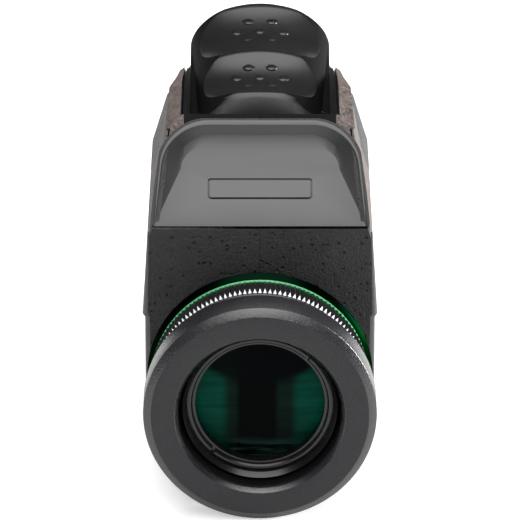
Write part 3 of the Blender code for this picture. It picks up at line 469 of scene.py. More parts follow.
# Matte black for the baffles inside, and also on the narrow top before the lever's channel as a painted shade
# of the gap there.
matte_black_and_gap_shade = finish("matte_black_and_painted_shade", grey(0.003), grey(0.005), (0.7, 0.8), 0.02, (3000, 200, 0.5), specular=0.1)
soft_seal = finish("seal_rubber", grey(0.010), grey(0.016), (0.55, 0.7), 0.02, (3000, 200, 0.5))
print("finishes:", len(bpy.data.materials))

# %% [markdown]
# ## Coated glass
# From behind, an eyepiece shows dark glass with green flares where its coating throws the room back. Clear
# glass would need the whole optical path rendered, so here the lens is dark and those flares, its dark zones
# and its shade are painted as colour on Object coordinates, which stay put on the glass from every side:
# painted reflections and painted shade.

# %% Glass helpers
GLASS_ROUGH = 0.04


def glass(name, specular):
    """A smooth glass whose colour is still to be linked, with its tree and shader."""
    return new_look(name, {"Roughness": GLASS_ROUGH, "Specular IOR Level": specular})


def across(tree, radius):
    """Place on a round lens in its own radii: to the side, and up from the axis."""
    place = add(tree, "ShaderNodeTexCoord").outputs["Object"]
    parts = add(tree, "ShaderNodeSeparateXYZ", {"Vector": place}).outputs
    up = maths(tree, "SUBTRACT", parts["Z"], AXIS_HEIGHT)
    return maths(tree, "DIVIDE", parts["X"], radius * MM), maths(tree, "DIVIDE", up, radius * MM)


def fade(tree, value, span, first, second):
    """A colour that runs softly from one to another while a value crosses a span."""
    return mixed(tree, ramp(tree, value, span, (0, 1), smooth=True), first, second)


print("helpers for glass are ready")

# %% Paint the glass
LENS_RADIUS = 11.65
# Colours of the eye lens's painted reflections and painted shade.
BLACK, OLIVE, GREEN = (0.0005, 0.001, 0.001), (0.003, 0.012, 0.009), (0.001, 0.052, 0.033)
UPPER_LEFT, UPPER_RIGHT, LOW_TEAL = (0.0003, 0.004, 0.002), (0.0003, 0.001, 0.002), (0.03, 0.09, 0.08)
FLARES = [((-0.64, -0.44), OLIVE), ((-0.40, -0.30), BLACK), ((0.20, 0.32), OLIVE), ((0.44, 0.64), GREEN)]
CAP_FOOT, CAP_BEND, CAP_TURN, CAP_EDGE = 0.2, 0.36, (-0.5, -0.1), (-0.05, 0.14)
STREAK_SCALE, STREAK_LONG = 900, (0.12, 0.12, 1.0)
SHADE, STREAKS = ((-0.85, -0.1), (0.62, 0)), ((0.35, 0.7), (0, 0.4))
TEAL_FOOT, TEAL_LINES = ((-0.95, -0.62), (1, 0)), ((0.45, 0.65), (0, 0.35))
RIM_SPAN = (0.1, 1)


def paint_eye_glass_reflections():
    """Painted reflections and painted shade: green flares left and right of a dark middle, under a dark
    arched cap, darker towards the bottom, with dark streaks and teal streaks low down.
    """
    material, tree, shader = glass("eye_glass_painted_reflections", specular=0.02)
    side, up = across(tree, LENS_RADIUS)
    colour = GREEN
    for span, tone in FLARES:
        colour = fade(tree, side, span, colour, tone)
    cap = fade(tree, side, CAP_TURN, UPPER_LEFT, UPPER_RIGHT)
    arch = maths(tree, "MULTIPLY", maths(tree, "MULTIPLY", side, side), CAP_BEND)
    over = maths(tree, "SUBTRACT", maths(tree, "SUBTRACT", up, CAP_FOOT), arch)
    colour = fade(tree, over, CAP_EDGE, colour, cap)
    colour = mixed(tree, ramp(tree, up, *SHADE, smooth=True), colour, BLACK)
    place = add(tree, "ShaderNodeTexCoord").outputs["Object"]
    flat = add(tree, "ShaderNodeMapping", {"Vector": place}, {"Scale": STREAK_LONG}).outputs["Vector"]
    pattern = {"Scale": STREAK_SCALE, "Detail": 2.0}
    streak = add(tree, "ShaderNodeTexNoise", {"Vector": flat}, pattern).outputs["Fac"]
    colour = mixed(tree, ramp(tree, streak, *STREAKS), colour, BLACK)
    low = ramp(tree, up, *TEAL_FOOT, smooth=True)
    line = ramp(tree, streak, *TEAL_LINES, smooth=True)
    colour = mixed(tree, maths(tree, "MULTIPLY", low, line), colour, LOW_TEAL)
    tree.links.new(colour, shader.inputs["Base Color"])
    return material


def paint_plain_glass(name, middle, rim, specular):
    """A coated glass, darker in the middle and lighter towards its rim: a painted reflection."""
    material, tree, shader = glass(name, specular)
    side, up = across(tree, LENS_RADIUS)
    square = maths(tree, "ADD", maths(tree, "MULTIPLY", side, side), maths(tree, "MULTIPLY", up, up))
    tree.links.new(fade(tree, square, RIM_SPAN, middle, rim), shader.inputs["Base Color"])
    return material


eye_glass = paint_eye_glass_reflections()
# The front lens's green, lighter towards the rim, is the coating's painted reflection.
front_glass = paint_plain_glass("front_glass_painted_reflection", (0.004, 0.016, 0.012), (0.012, 0.05, 0.036), 0.35)
inner_glass = paint_plain_glass("inner_glass", (0.04, 0.06, 0.06), (0.07, 0.10, 0.10), 0.5)
print("glass:", eye_glass.name, front_glass.name, inner_glass.name)

# %% [markdown]
# ## Looks for the inner parts
# Barrels, prisms, rods and screws keep their CAD shapes, because they are hidden or already right. Each
# still gets a finish, since the halves could be opened.

# %% Dress the CAD nodes
LOOKS = {
    "shell": shell, "panel": plate, "skin": hide, "eyecup_rubber": rubber, "lever": slider,
    "black_metal": black_metal, "green_ring": green, "steel": steel, "coated_glass": front_glass,
    "prism_glass": inner_glass, "seal": soft_seal,
}
BAFFLES = ("eyecup_sleeve", "eyepiece_housing", "eyepiece_barrel", "prism_cage", "field_stop")
for name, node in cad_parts.items():
    slot = next((mat.name for mat in node.data.materials if mat), "")
    match = next((look for key, look in LOOKS.items() if slot.startswith(key)), black_metal)
    match = matte_black_and_gap_shade if name in BAFFLES else match
    give_looks(node, match)
    print(name, slot, match.name)

# %% [markdown]
# ## Studio
# A pale floor, one long soft lamp above that reaches forward over the camera, and a small one on each side.
# The sweep behind shows white to the camera, to reflections and to glass. Above it the room is dim, so that
# the lamps draw the highlights and the black mouldings keep their depth.

# %% Floor
FLOOR_SIDE, FLOOR_TONE, FLOOR_GLOW, FLOOR_MIRROR = 4.0, 0.7, 0.5, 0.08
choose_none()
bpy.ops.mesh.primitive_plane_add(size=FLOOR_SIDE, location=(0, 0, 0))
floor = bpy.context.object
floor.name = "studio_floor"


def seen_white(tree):
    """Two values: one for camera rays, and one for glossy and transmission rays, else zero."""
    rays = add(tree, "ShaderNodeLightPath").outputs
    return rays["Is Camera Ray"], maths(tree, "MAXIMUM", rays["Is Glossy Ray"], rays["Is Transmission Ray"])


floor_look, floor_tree, floor_shader = new_look("pale_floor", {
    "Base Color": (FLOOR_TONE, FLOOR_TONE, FLOOR_TONE, 1), "Roughness": 0.9, "Specular IOR Level": 0.0,
    "Emission Color": (1, 1, 1, 1),
})
floor_seen, floor_mirrored = seen_white(floor_tree)
glow = maths(floor_tree, "MULTIPLY", floor_seen, FLOOR_GLOW)
shine = maths(floor_tree, "MULTIPLY", floor_mirrored, FLOOR_MIRROR)
floor_tree.links.new(maths(floor_tree, "MAXIMUM", glow, shine), floor_shader.inputs["Emission Strength"])
give_looks(floor, floor_look)
print("floor", tuple(round(side, 2) for side in floor.dimensions))

# %% World
WORLD_FILL, ROOM_TOP, SWEEP_TOP = 0.20, 0.08, 0.05
world = bpy.data.worlds.new("studio")
bpy.context.scene.world = world
world.use_nodes = True
world_tree = world.node_tree
backdrop = world_tree.nodes["Background"]
backdrop.inputs["Color"].default_value = (1, 1, 1, 1)
direction = add(world_tree, "ShaderNodeTexCoord").outputs["Generated"]
upward = add(world_tree, "ShaderNodeSeparateXYZ", {"Vector": direction}).outputs["Z"]
sweep = ramp(world_tree, upward, (0.0, SWEEP_TOP), (1.0, ROOM_TOP))
camera_ray, mirror_ray = seen_white(world_tree)
seen = add(world_tree, "ShaderNodeMix", {"Factor": mirror_ray, "B": sweep}, {"A": WORLD_FILL})
shown = maths(world_tree, "MAXIMUM", seen.outputs["Result"], camera_ray)
world_tree.links.new(shown, backdrop.inputs["Strength"])
print("world fill", WORLD_FILL, "and room", ROOM_TOP)

# %% Lamps


def softbox(name, place, aim, size, power):
    """A rectangular area lamp that looks at a point."""
    choose_none()
    bpy.ops.object.light_add(type="AREA", location=place)
    lamp = bpy.context.object
    lamp.name = name
    lamp.data.shape = "RECTANGLE"
    lamp.data.size, lamp.data.size_y = size
    lamp.data.energy = power
    lamp.rotation_euler = (Vector(aim) - Vector(place)).to_track_quat("-Z", "Y").to_euler()


TARGET = (0, 0, 0.03)
LAMPS = [
    ("overhead_box", (0.0, -0.49, 0.80), (0.0, -0.49, 0.0), (0.80, 1.82), 18.0),
    ("right_box", (0.85, 0.15, 0.20), TARGET, (0.30, 0.40), 18.0),
    ("left_box", (-0.80, 0.20, 0.30), TARGET, (0.25, 0.40), 0.5),
]
for lamp in LAMPS:
    softbox(*lamp)
print("lamps:", len(LAMPS))

# %% Camera
CAMERA_PLACE = spot(0, -716.4, 354.3)
CAMERA_TILT = math.radians(65.7)
CAMERA_LENS, SENSOR_WIDE, NEAREST = 308.6, 36, 0.01
choose_none()
bpy.ops.object.camera_add(location=CAMERA_PLACE, rotation=(CAMERA_TILT, 0, 0))
camera = bpy.context.object
camera.data.lens = CAMERA_LENS
camera.data.sensor_width = SENSOR_WIDE
camera.data.clip_start = NEAREST
bpy.context.scene.camera = camera
bpy.context.scene.view_settings.view_transform = "Standard"
print("camera at", [round(value, 3) for value in camera.location])

# %% [markdown]
# ## Eyecup
# The cup is one moulded rubber ring: a flat front that meets the face, a bright chamfer round it, a short
# cylinder that the fingers pull, and a lip that hides the sleeve. It is a plain section, so the lathe makes
# it, and a small bevel softens the edges as moulding does. Skin dulls the flat front, so those faces are
# picked by their place and get a finish of their own.

# %% Turn the eyecup
EYECUP = [
    (14.7, 0.95), (15.4, 0.0), (19.5, 0.0), (21.0, 0.95), (21.0, 6.6), (20.7, 6.9),
    (16.4, 6.9), (16.4, 2.5), (14.7, 2.5),
]
FACE_DEPTH = 0.05
eyecup = turned("rubber_eyecup", EYECUP, segments=160)
round_edges(eyecup, width=0.12, angle=20)
give_looks(eyecup, rubber, cup_face)
open_mesh(eyecup)
face_end = CUP_FRONT + FACE_DEPTH * MM
print("cup face:", paint(eyecup, 1, lambda face: face.calc_center_median().y < face_end), "faces")
dress(eyecup, "eyecup", "eyecup_group", rubber)

# %% [markdown]
# ## Knurled twist ring
# The ring under the cup turns to run the cup out. Its grip is straight knurling whose front is cut back at an
# angle, so each tooth ends in a small triangle of bare metal, painted near white as a glint: a painted glint.
# Modelled as a circle with three points a tooth: one stays out as the ridge, and the two beside it are drawn
# in after the ring is closed.

# %% Turn and knurl the ring
TEETH, POINTS = 136, 3
ROOT, TIP, TEETH_START = 19.4, 20.0, 11.0
RING = [
    (18.1, 10.2), (19.2, 10.2), (ROOT, 10.4), (ROOT, TEETH_START), (TIP, 11.55), (TIP, 14.8), (19.5, 15.3),
    (18.1, 15.3),
]
VALLEY = ROOT / TIP
ring = turned("knurled_ring", RING, POINTS * TEETH)


def tooth_step(point):
    """Which of the circle's points this is, counted round the axis."""
    turn = math.atan2(point.co.z - AXIS_HEIGHT, point.co.x) / (2 * math.pi)
    return round(turn * POINTS * TEETH)


def off_axis(point):
    """Distance from the optical axis in millimetres."""
    return math.hypot(point.co.x, point.co.z - AXIS_HEIGHT) / MM


open_mesh(ring)
valleys = pick(ring, "VERT", lambda point: off_axis(point) > (ROOT + TIP) / 2 and tooth_step(point) % POINTS)
bpy.ops.transform.resize(value=(VALLEY, 1, VALLEY), center_override=spot(0, TEETH_START, 0))
bpy.ops.mesh.select_all(action="SELECT")
bpy.ops.mesh.quads_convert_to_tris(quad_method="LONGEST_DIAGONAL")
face_outwards()
print("valley points drawn in:", valleys)

# %% Bare the tooth ends
# The tooth ends get the near white finish: bare cut metal with a painted glint.
give_looks(ring, black_metal, bare_metal_painted_glint)
TOOTH_FRONT = spot(0, TEETH_START, 0).y


def tooth_end(face):
    """True for the slanted triangle with two points on the front edge and one on a ridge."""
    front = [point for point in face.verts if abs(point.co.y - TOOTH_FRONT) < NEAR]
    return len(front) == 2 and max(off_axis(point) for point in face.verts) > TIP - SLACK


print("bright tooth ends:", paint(ring, 1, tooth_end))
dress(ring, "eyecup_ring", "twist_ring", black_metal, angle=20)

# %% [markdown]
# ## Green ring
# A thin anodised ring closes the gap between the knurling and the body. It flares towards the body, so it
# mirrors the dark rear face. Its front edge shines with a painted highlight: the narrow slant there is
# coloured bright green.

# %% Turn the green ring
ACCENT_FRONT, SLANT_END, SLANT_INNER = 15.6, 15.8, 19.4
ACCENT = [
    (18.15, ACCENT_FRONT), (SLANT_INNER, ACCENT_FRONT), (19.75, SLANT_END), (20.6, 17.1), (20.5, 17.25),
    (18.15, 17.25),
]
SLANT_NEAR, SLANT_PLACE = 0.06, spot(0, (ACCENT_FRONT + SLANT_END) / 2, 0).y


def front_slant(face):
    """True for the narrow slant between the green ring's front and its flare."""
    offset = abs(face.calc_center_median().y - SLANT_PLACE)
    return offset < SLANT_NEAR * MM and off_axis(face.verts[0]) > SLANT_INNER - SLACK


accent = turned("green_ring", ACCENT, segments=160)
# The front slant gets the bright green: a painted highlight.
give_looks(accent, green, green_edge_painted_highlight)
open_mesh(accent)
print("bright edge faces:", paint(accent, 1, front_slant))
dress(accent, "accent_ring", "housing", green)

# %% [markdown]
# ## Nose ring and eye lens
# Down inside the cup sits a stepped black ring with two spanner slots, and behind it the eye lens. The
# ring is turned, with a funnel outside, a groove and a flat land with a small chamfer, and then slotted
# with a small block. The lens is turned from rim to pole on both faces.

# %% Turn the nose ring
NOSE = [
    (13.98, 4.2), (13.98, 3.4), (13.93, 3.3), (13.7, 3.56), (13.45, 3.86), (13.2, 4.18),
    (13.15, 4.6), (13.15, 5.3), (12.9, 5.3), (12.9, 4.9), (12.45, 4.9), (12.2, 5.2),
    (12.2, 5.65), (11.7, 5.65), (11.7, 7.9), (12.25, 7.9), (12.25, 5.95), (13.98, 5.95),
]
SLOT_SIZE, SLOT_RADIUS, SLOT_STATION = (1.4, 0.9, 0.9), 12.4, 5.1
SLOT_TURN = math.radians(-132.61)
nose = turned("stepped_nose_ring", NOSE, segments=160)
for turn in (SLOT_TURN, SLOT_TURN + math.pi):
    place = spot(SLOT_RADIUS * math.cos(turn), SLOT_STATION, SLOT_RADIUS * math.sin(turn))
    cut(nose, block(SLOT_SIZE, place, (0, -turn, 0)))
dress(nose, "nose_ring", "housing", nose_black, angle=25)

# %% Turn the eye lens
LENS_RIM, LENS_EDGE, LENS_SAG = 12.2, 8.2, 0.5
LENS_STEPS, LENS_LAST = 10, 0.04
BACK_FLAT, BACK_DROP = 11.0, 0.2


def spread(first, last, count):
    """Even steps from a first to a last value."""
    return [first + (last - first) * step / count for step in range(count + 1)]


lens_low, lens_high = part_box("eye_lens")
BACK = (lens_high.y - CUP_FRONT) / MM
parts = spread(1, LENS_LAST, LENS_STEPS)
front_face = [(LENS_RIM * part, LENS_EDGE - LENS_SAG * (1 - part * part)) for part in parts]
lens_outline = [(BACK_FLAT, BACK), (LENS_RIM, BACK - BACK_DROP)] + front_face
eye_lens = turned("eye_lens_glass", lens_outline, poles=(BACK, LENS_EDGE - LENS_SAG))
dress(eye_lens, "eye_lens", "housing", eye_glass)
print("lens from", round((lens_low.y - CUP_FRONT) / MM, 2), "to", round(BACK, 2), "mm")

# %% [markdown]
# ## Rear panel
# The smooth plate above the eyepiece is a tray: a lip runs round the top and the sides and falls to a
# face that meets the lower edge flush. It is drawn flat, as a plane with two rounded corners, inset three
# times for lip, wall and cove, and only then leaned back into its place.

# %% Draw the panel flat
PANEL_LEAN = math.radians(55.0)
SLOPE = Vector((0, -math.sin(PANEL_LEAN), math.cos(PANEL_LEAN)))
PANEL_FOOT, PANEL_TOP, PANEL_LOW, PANEL_HIGH, PANEL_CORNER = 0.42, 20.0, 19.1, 17.6, 8.3
PANEL_THICK, PANEL_PROUD = 2.1, 0.12
PANEL_SEAT = spot(0, 17.4, 29.15)


def flat_plate(name, foot, top, low, high, corner, floor, rise):
    """A flat plate, tapered upwards, with two rounded upper corners, from a floor to a rise."""
    choose_none()
    bpy.ops.mesh.primitive_plane_add(size=1, location=(0, (foot + top) / 2 * MM, rise * MM))
    bpy.context.object.scale = (2 * low * MM, (top - foot) * MM, 1)
    piece = placed(name)
    open_mesh(piece)
    pick(piece, "VERT", lambda point: point.co.y > (foot + top) / 2 * MM)
    bpy.ops.transform.resize(value=(high / low, 1, 1), center_override=(0, top * MM, 0))
    bpy.ops.mesh.bevel(offset=corner * MM, segments=14, affect="VERTICES")
    bpy.ops.mesh.select_all(action="SELECT")
    extrude(0, 0, floor - rise)
    face_outwards()
    return piece


def lean(piece):
    """Turns a flat drawing back to the slope of the body's rear."""
    choose(piece)
    piece.rotation_euler = (PANEL_LEAN, 0, 0)
    piece.location = PANEL_SEAT
    bpy.ops.object.transform_apply(location=True, rotation=True, scale=True)


panel = flat_plate(
    "tray_panel", PANEL_FOOT, PANEL_TOP, PANEL_LOW, PANEL_HIGH, PANEL_CORNER,
    PANEL_PROUD - PANEL_THICK, PANEL_PROUD,
)
print("panel corners rounded to", PANEL_CORNER, "mm")

# %% Sink the tray
TRAY = [(0.9, 0.0, 1.030), (1.45, 1.15, 0.930), (2.2, 0.28, 1.10)]
pick(panel, "FACE", lambda face: face.normal.z > 0.9)
for width, drop, widen in TRAY:
    bpy.ops.mesh.inset(thickness=width * MM)
    bpy.ops.transform.resize(value=(widen, 1, 1), center_override=(0, 0, 0))
    bpy.ops.transform.translate(value=(0, 0, -drop * MM))
TRAY_DEPTH = sum(drop for width, drop, widen in TRAY)


def tray_foot(point):
    """True for the lower ends of the three inset outlines, whose edge runs straight across the panel."""
    ends = [edge.other_vert(point).co for edge in point.link_edges]
    runs_across = any(
        abs(end.y - point.co.y) < NEAR and abs(end.x - point.co.x) > PANEL_LOW * MM for end in ends
    )
    return runs_across and (PANEL_FOOT + SLACK) * MM < point.co.y < PANEL_TOP / 2 * MM


feet = pick(panel, "VERT", tray_foot)
mesh = bmesh.from_edit_mesh(panel.data)
for point in [point for point in mesh.verts if point.select]:
    point.co = (math.copysign(PANEL_LOW * MM, point.co.x), PANEL_FOOT * MM, PANEL_PROUD * MM)
bmesh.update_edit_mesh(panel.data)
seal(panel)
round_edges(panel, width=0.16, angle=15)
print("tray depth", round(TRAY_DEPTH, 2), "mm, foot points drawn out:", feet)

# %% Groove round the bare plate
PLATE_WIDE, PLATE_HIGH, PLATE_FOOT, GROOVE_WIDE, GROOVE_REACH = 18.9, 3.95, 5.55, 0.36, 3.4
OUTER_ROUND, INNER_ROUND = 0.5, 0.3


def rounded_bar(wide, high, corner):
    """An upright block with rounded corners round the plate's place."""
    bar = block((wide, high, GROOVE_REACH), (0, (PLATE_FOOT + PLATE_HIGH / 2) * MM, 0))
    open_mesh(bar)
    pick(bar, "EDGE", lambda edge: abs(edge.verts[0].co.z - edge.verts[1].co.z) > MM)
    bpy.ops.mesh.bevel(offset=corner * MM, segments=4, affect="EDGES")
    return bar


groove = rounded_bar(PLATE_WIDE, PLATE_HIGH, OUTER_ROUND)
cut(groove, rounded_bar(PLATE_WIDE - 2 * GROOVE_WIDE, PLATE_HIGH - 2 * GROOVE_WIDE, INNER_ROUND))
cut(panel, groove)
lean(panel)
dress(panel, "rear_panel", "housing", plate, angle=25)

# %% [markdown]
# ## Half shells
# The body is two mouldings that meet in the middle. Their CAD solids have the main form, so each is copied
# and merged. Blocks then trim the rim behind the panel, the joint at its foot and the upper corner of the
# nose, as a modeller would with a file. What the mould adds comes last: smooth corners beside the rear face,
# a fine chamfer along the seam, and the rubber coat on the two crests beside the lever. The corners are
# painted a lighter grey, a painted highlight, and the narrow top before the lever's channel is painted near
# black, a painted shade of the gap there.

# %% Copy a solid


def copied(node, name):
    """A merged copy of a CAD node's mesh with its flat faces whole again."""
    piece = bpy.data.objects.new(name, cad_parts[node].data.copy())
    bpy.context.scene.collection.objects.link(piece)
    piece.data.materials.clear()
    seal(piece, gap=0.001)
    open_mesh(piece, "SELECT")
    bpy.ops.mesh.dissolve_limited(angle_limit=math.radians(0.5))
    return piece


print("solids can be copied")

# %% Tests for places on the shell
PANEL_MIDDLE = spot(0, 23.2, 37.4)
BACKWARD = Vector((0, -1, 0))
CHANNEL_SIDE, CORNER_OUT, SEAM_NEAR, FACE_TOP = 13.8, 19.5, 0.2, 28.0
BRIDGE_LOW, BRIDGE_END = 44.0, 36.0
CREST_INNER, CREST_OUTER, CREST_LOW, CREST_END = 14.2, 17.2, 33.0, 84.0
COAT_INNER, COAT_LOW, COAT_END = 13.5, 29.0, 90.0
RIM_DEEP, RIM_LOW = 1.45, 36.0


def above(point, height):
    """True for a point higher than a height above the axis."""
    return point.co.z > spot(0, 0, height).z


def height_of(point):
    """Height of a point above the axis in millimetres."""
    return (point.co.z - AXIS_HEIGHT) / MM


def past(point, station):
    """True for a point further along the tube than a station."""
    return point.co.y > spot(0, station, 0).y


def long_edge(edge, length=5):
    """True for an edge that runs along the tube."""
    return abs(edge.verts[0].co.y - edge.verts[1].co.y) > length * MM


def beside(edge, direction):
    """The other face of an edge that has just one face looking in a direction, or None."""
    match = [face for face in edge.link_faces if face.normal.dot(direction) > 0.99]
    rest = [face for face in edge.link_faces if face not in match]
    return rest[0] if len(match) == len(rest) == 1 else None


def rear_corner(edge):
    """True for the upright outer edges of the rear face, where it turns into a flank."""
    flank = beside(edge, BACKWARD)
    outside = all(abs(point.co.x) > CORNER_OUT * MM for point in edge.verts)
    return outside and flank and abs(flank.normal.x) > 0.5


def brow(edge):
    """True for the top edge of the rear face and the outer rim of the sloping rear."""
    top, rim = beside(edge, BACKWARD), beside(edge, SLOPE)
    middle = (edge.verts[0].co + edge.verts[1].co) / 2
    on_top = top and top.normal.z > 0.5 and above(edge.verts[0], FACE_TOP)
    return on_top or (rim and rim.normal.dot(middle - PANEL_MIDDLE) > SLACK * MM)


def on_bridge(point):
    """True for a point as high as the narrow top between the panel and the lever's channel."""
    return above(point, BRIDGE_LOW) and not past(point, BRIDGE_END)


def channel_brow(edge):
    """True for the edge where the top behind the panel drops into the lever's channel."""
    tops = [face for face in edge.link_faces if face.normal.z > 0.95]
    walls = [face for face in edge.link_faces if face.normal.y > 0.95]
    return len(tops) == 1 and len(walls) == 1 and on_bridge(edge.verts[0])


def crest_edge(edge):
    """True for the long edges on top of the walls beside the lever."""
    on_wall = all(
        not past(point, CREST_END) and above(point, CREST_LOW)
        and CREST_INNER * MM < abs(point.co.x) < CREST_OUTER * MM for point in edge.verts
    )
    return long_edge(edge) and on_wall and any(face.normal.z > 0.5 for face in edge.link_faces)


def seam(edge):
    """True for the outer edges where the two halves meet."""
    flat = [face for face in edge.link_faces if abs(face.normal.x) > 0.99]
    return len(flat) == 1 and all(abs(point.co.x) < SEAM_NEAR * MM for point in edge.verts)


print("tests for the shell's edges are ready")

# %% Tests for faces of the shell


def crest(face):
    """True for the tops of the walls beside the lever, which carry the same rubber as the skins."""
    middle = face.calc_center_median()
    upward = face.normal.z > 0.15 and face.normal.y > -0.5
    along = middle.z > spot(0, 0, COAT_LOW).z and middle.y < spot(0, COAT_END, 0).y
    return abs(middle.x) > COAT_INNER * MM and upward and along


def trimmed(face):
    """True for the faces that the rim cut leaves behind the panel."""
    middle = face.calc_center_median()
    sunk = (middle - PANEL_SEAT).dot(SLOPE) < -0.5 * RIM_DEEP * MM
    return face.normal.dot(SLOPE) > 0.9 and sunk and middle.z > spot(0, 0, RIM_LOW).z


def trimmed_corner(face):
    """True for the trimmed faces beside the lever's channel."""
    return trimmed(face) and abs(face.calc_center_median().x) > CHANNEL_SIDE * MM


def bridge_top(face):
    """True for the narrow top between the panel and the lever's channel."""
    top = face.normal.z > 0.6 and on_bridge(face.verts[0]) and face.normal.dot(SLOPE) < 0.9
    return abs(face.calc_center_median().x) < CHANNEL_SIDE * MM and (top or trimmed(face))


print("tests for the shell's faces are ready")

# %% Tools that trim the halves
RIM_OUTSIDE, RIM_INSIDE = (-1.5, 24.0, 25.0, 25.0, 0.5), (-2.0, 20.45, 20.1, 17.95, 8.5)
JOINT_SIZE, JOINT_RISE = (38.8, 0.55, 2.2), 0.25
TRIM_SIZE, TRIM_PLACE = (8.0, 16.2, 24.0), (18.15, 91.9, 30.3)
TRIM_LEAN, TRIM_TOE = 0.646, 0.152
OVERSHOOT = 1.0


def rim_tool():
    """What lies outside a rounded outline just round the panel, as deep as the rim is thick."""
    outside = flat_plate("rim_outside", *RIM_OUTSIDE, -RIM_DEEP, OVERSHOOT)
    cut(outside, flat_plate("rim_inside", *RIM_INSIDE, -RIM_DEEP - OVERSHOOT, 2 * OVERSHOOT))
    lean(outside)
    return outside


def foot_groove():
    """The dark joint between the panel's foot and the rear face."""
    bar = block(JOINT_SIZE, (0, JOINT_RISE * MM, 0))
    lean(bar)
    return bar


def nose_trim(turn):
    """A block that takes the upper corner off the body ahead of one skin."""
    side, station, height = TRIM_PLACE
    return block(TRIM_SIZE, spot(turn * side, station, height), (0, -turn * TRIM_LEAN, turn * TRIM_TOE))


print("rim cut", RIM_DEEP, "mm deep")

# %% Shape the halves
BODY_TOP, TOP_RISE, TOP_SHIFT, TOP_REAR = 45.3, 0.53, 0.373, 29.5
TOP_LIFT = ((TOP_REAR, (0, TOP_SHIFT * MM, TOP_RISE * MM)), (BRIDGE_END, (0, 0, TOP_RISE * MM)))
SEAM_SHIFT = 0.13
SOFTENED = [
    (channel_brow, 1.7, 1), (crest_edge, 0.5, 3), (rear_corner, 0.9, 3), (brow, 0.3, 2), (seam, 0.06, 1),
]
SHELL_LOOKS = (shell, hide, matte_black_and_gap_shade, smooth_edge_painted_highlight)
for side, turn in (("left", 1), ("right", -1)):
    half = copied("body_" + side, "half_shell_" + side)
    open_mesh(half)
    for reach, lift in TOP_LIFT:
        pick(half, "VERT", lambda point: abs(height_of(point) - BODY_TOP) < SLACK and not past(point, reach))
        bpy.ops.transform.translate(value=lift)
    pick(half, "VERT", lambda point: abs(point.co.x) < SEAM_NEAR * MM)
    bpy.ops.transform.translate(value=(turn * SEAM_SHIFT * MM, 0, 0))
    for tool in (rim_tool(), foot_groove(), nose_trim(-turn)):
        cut(half, tool)
    give_looks(half, *SHELL_LOOKS)
    open_mesh(half)
    for test, width, segments in SOFTENED:
        print(side, test.__name__, pick(half, "EDGE", test))
        clamped = test is not rear_corner
        bpy.ops.mesh.bevel(offset=width * MM, segments=segments, affect="EDGES", clamp_overlap=clamped)
        # The rounded rear corners get the lighter grey: a painted highlight.
        if test is rear_corner:
            assign(half, SHELL_LOOKS.index(smooth_edge_painted_highlight))
    pick(half, "FACE", trimmed)
    bpy.ops.mesh.bisect(plane_co=(-turn * CHANNEL_SIDE * MM, 0, 0), plane_no=(1, 0, 0))
    # The bridge top is painted near black: a painted shade of the gap before the lever.
    for look, test in ((hide, crest), (hide, trimmed_corner), (matte_black_and_gap_shade, bridge_top)):
        print(side, test.__name__, "faces", paint(half, SHELL_LOOKS.index(look), test))
    dress(half, "body_" + side, "housing", shell, angle=30)

# %% [markdown]
# ## Side skins
# A rough rubber skin is glued on each upper flank. The solid is copied, drawn in a little at two heights so
# that it leans with the shell, its edges are rounded as moulded rubber is, and the leather-like texture
# comes from the finish.

# %% Copy and round the skins
SKIN_DRAFT = [(41.0, 44.0, 17.0, 0.957), (27.0, 31.0, 19.3, 0.985)]
SHOULDER_ROUND = 0.35


def shoulder(edge):
    """True for the long outer edge along the top of a skin."""
    tops = [face for face in edge.link_faces if face.normal.z > 0.8]
    return long_edge(edge, length=10) and len(tops) == 1 and any(
        face.normal.x * edge.verts[0].co.x > 0 and abs(face.normal.x) > 0.5 for face in edge.link_faces
    )


for side in ("left", "right"):
    skin = copied("side_skin_" + side, "grip_skin_" + side)
    open_mesh(skin)
    for low, high, least, share in SKIN_DRAFT:
        pick(skin, "VERT", lambda point: low < height_of(point) < high and abs(point.co.x) > least * MM)
        bpy.ops.transform.resize(value=(share, 1, 1), center_override=(0, 0, 0))
    print(side, "skin shoulder", pick(skin, "EDGE", shoulder))
    bpy.ops.mesh.bevel(offset=SHOULDER_ROUND * MM, segments=3, affect="EDGES")
    round_edges(skin, width=0.15, angle=50)
    dress(skin, "side_skin_" + side, "housing", hide, angle=40)

# %% [markdown]
# ## Focus lever
# The lever is a saddle that slides along the top: an arch in section, with two finger grooves and small domes
# for grip. Two half-round bars are extruded station by station: one has the lever's outline, and the other is
# wider and follows the ridge line down into the grooves. The lever is what the two have in common.

# %% The ridge line
CRESTS = [(43.4, 45.4), (62.1, 46.2), (84.5, 46.7)]
GROOVE = 2.7
END_ROUNDS = (2.0, 1.3)
END_TILT, END_STEEP = math.radians(26.0), math.radians(66.0)
END_REACH = 2.45
LEVER_WIDE, SPRING, LEVER_FOOT = 13.4, 37.2, 34.3
ARCH_REAR, ARCH_FRONT, ARCH_FULL = 45.5, 46.95, 56.0
REAR_WIDE, REAR_ARCH, SHOULDER = 12.9, 11.2, 1.4
CREST_GAP = 0.5
REAR_RINGS, GROOVE_RINGS, FRONT_RINGS = 8, 40, 6
REAR_TURN = CRESTS[0][0] + END_ROUNDS[0] * math.sin(END_TILT)
REAR_ARC = REAR_TURN - END_ROUNDS[0] * math.sin(END_STEEP)
LEVER_REAR, LEVER_FRONT = REAR_ARC - END_REACH, CRESTS[-1][0] + END_ROUNDS[1]


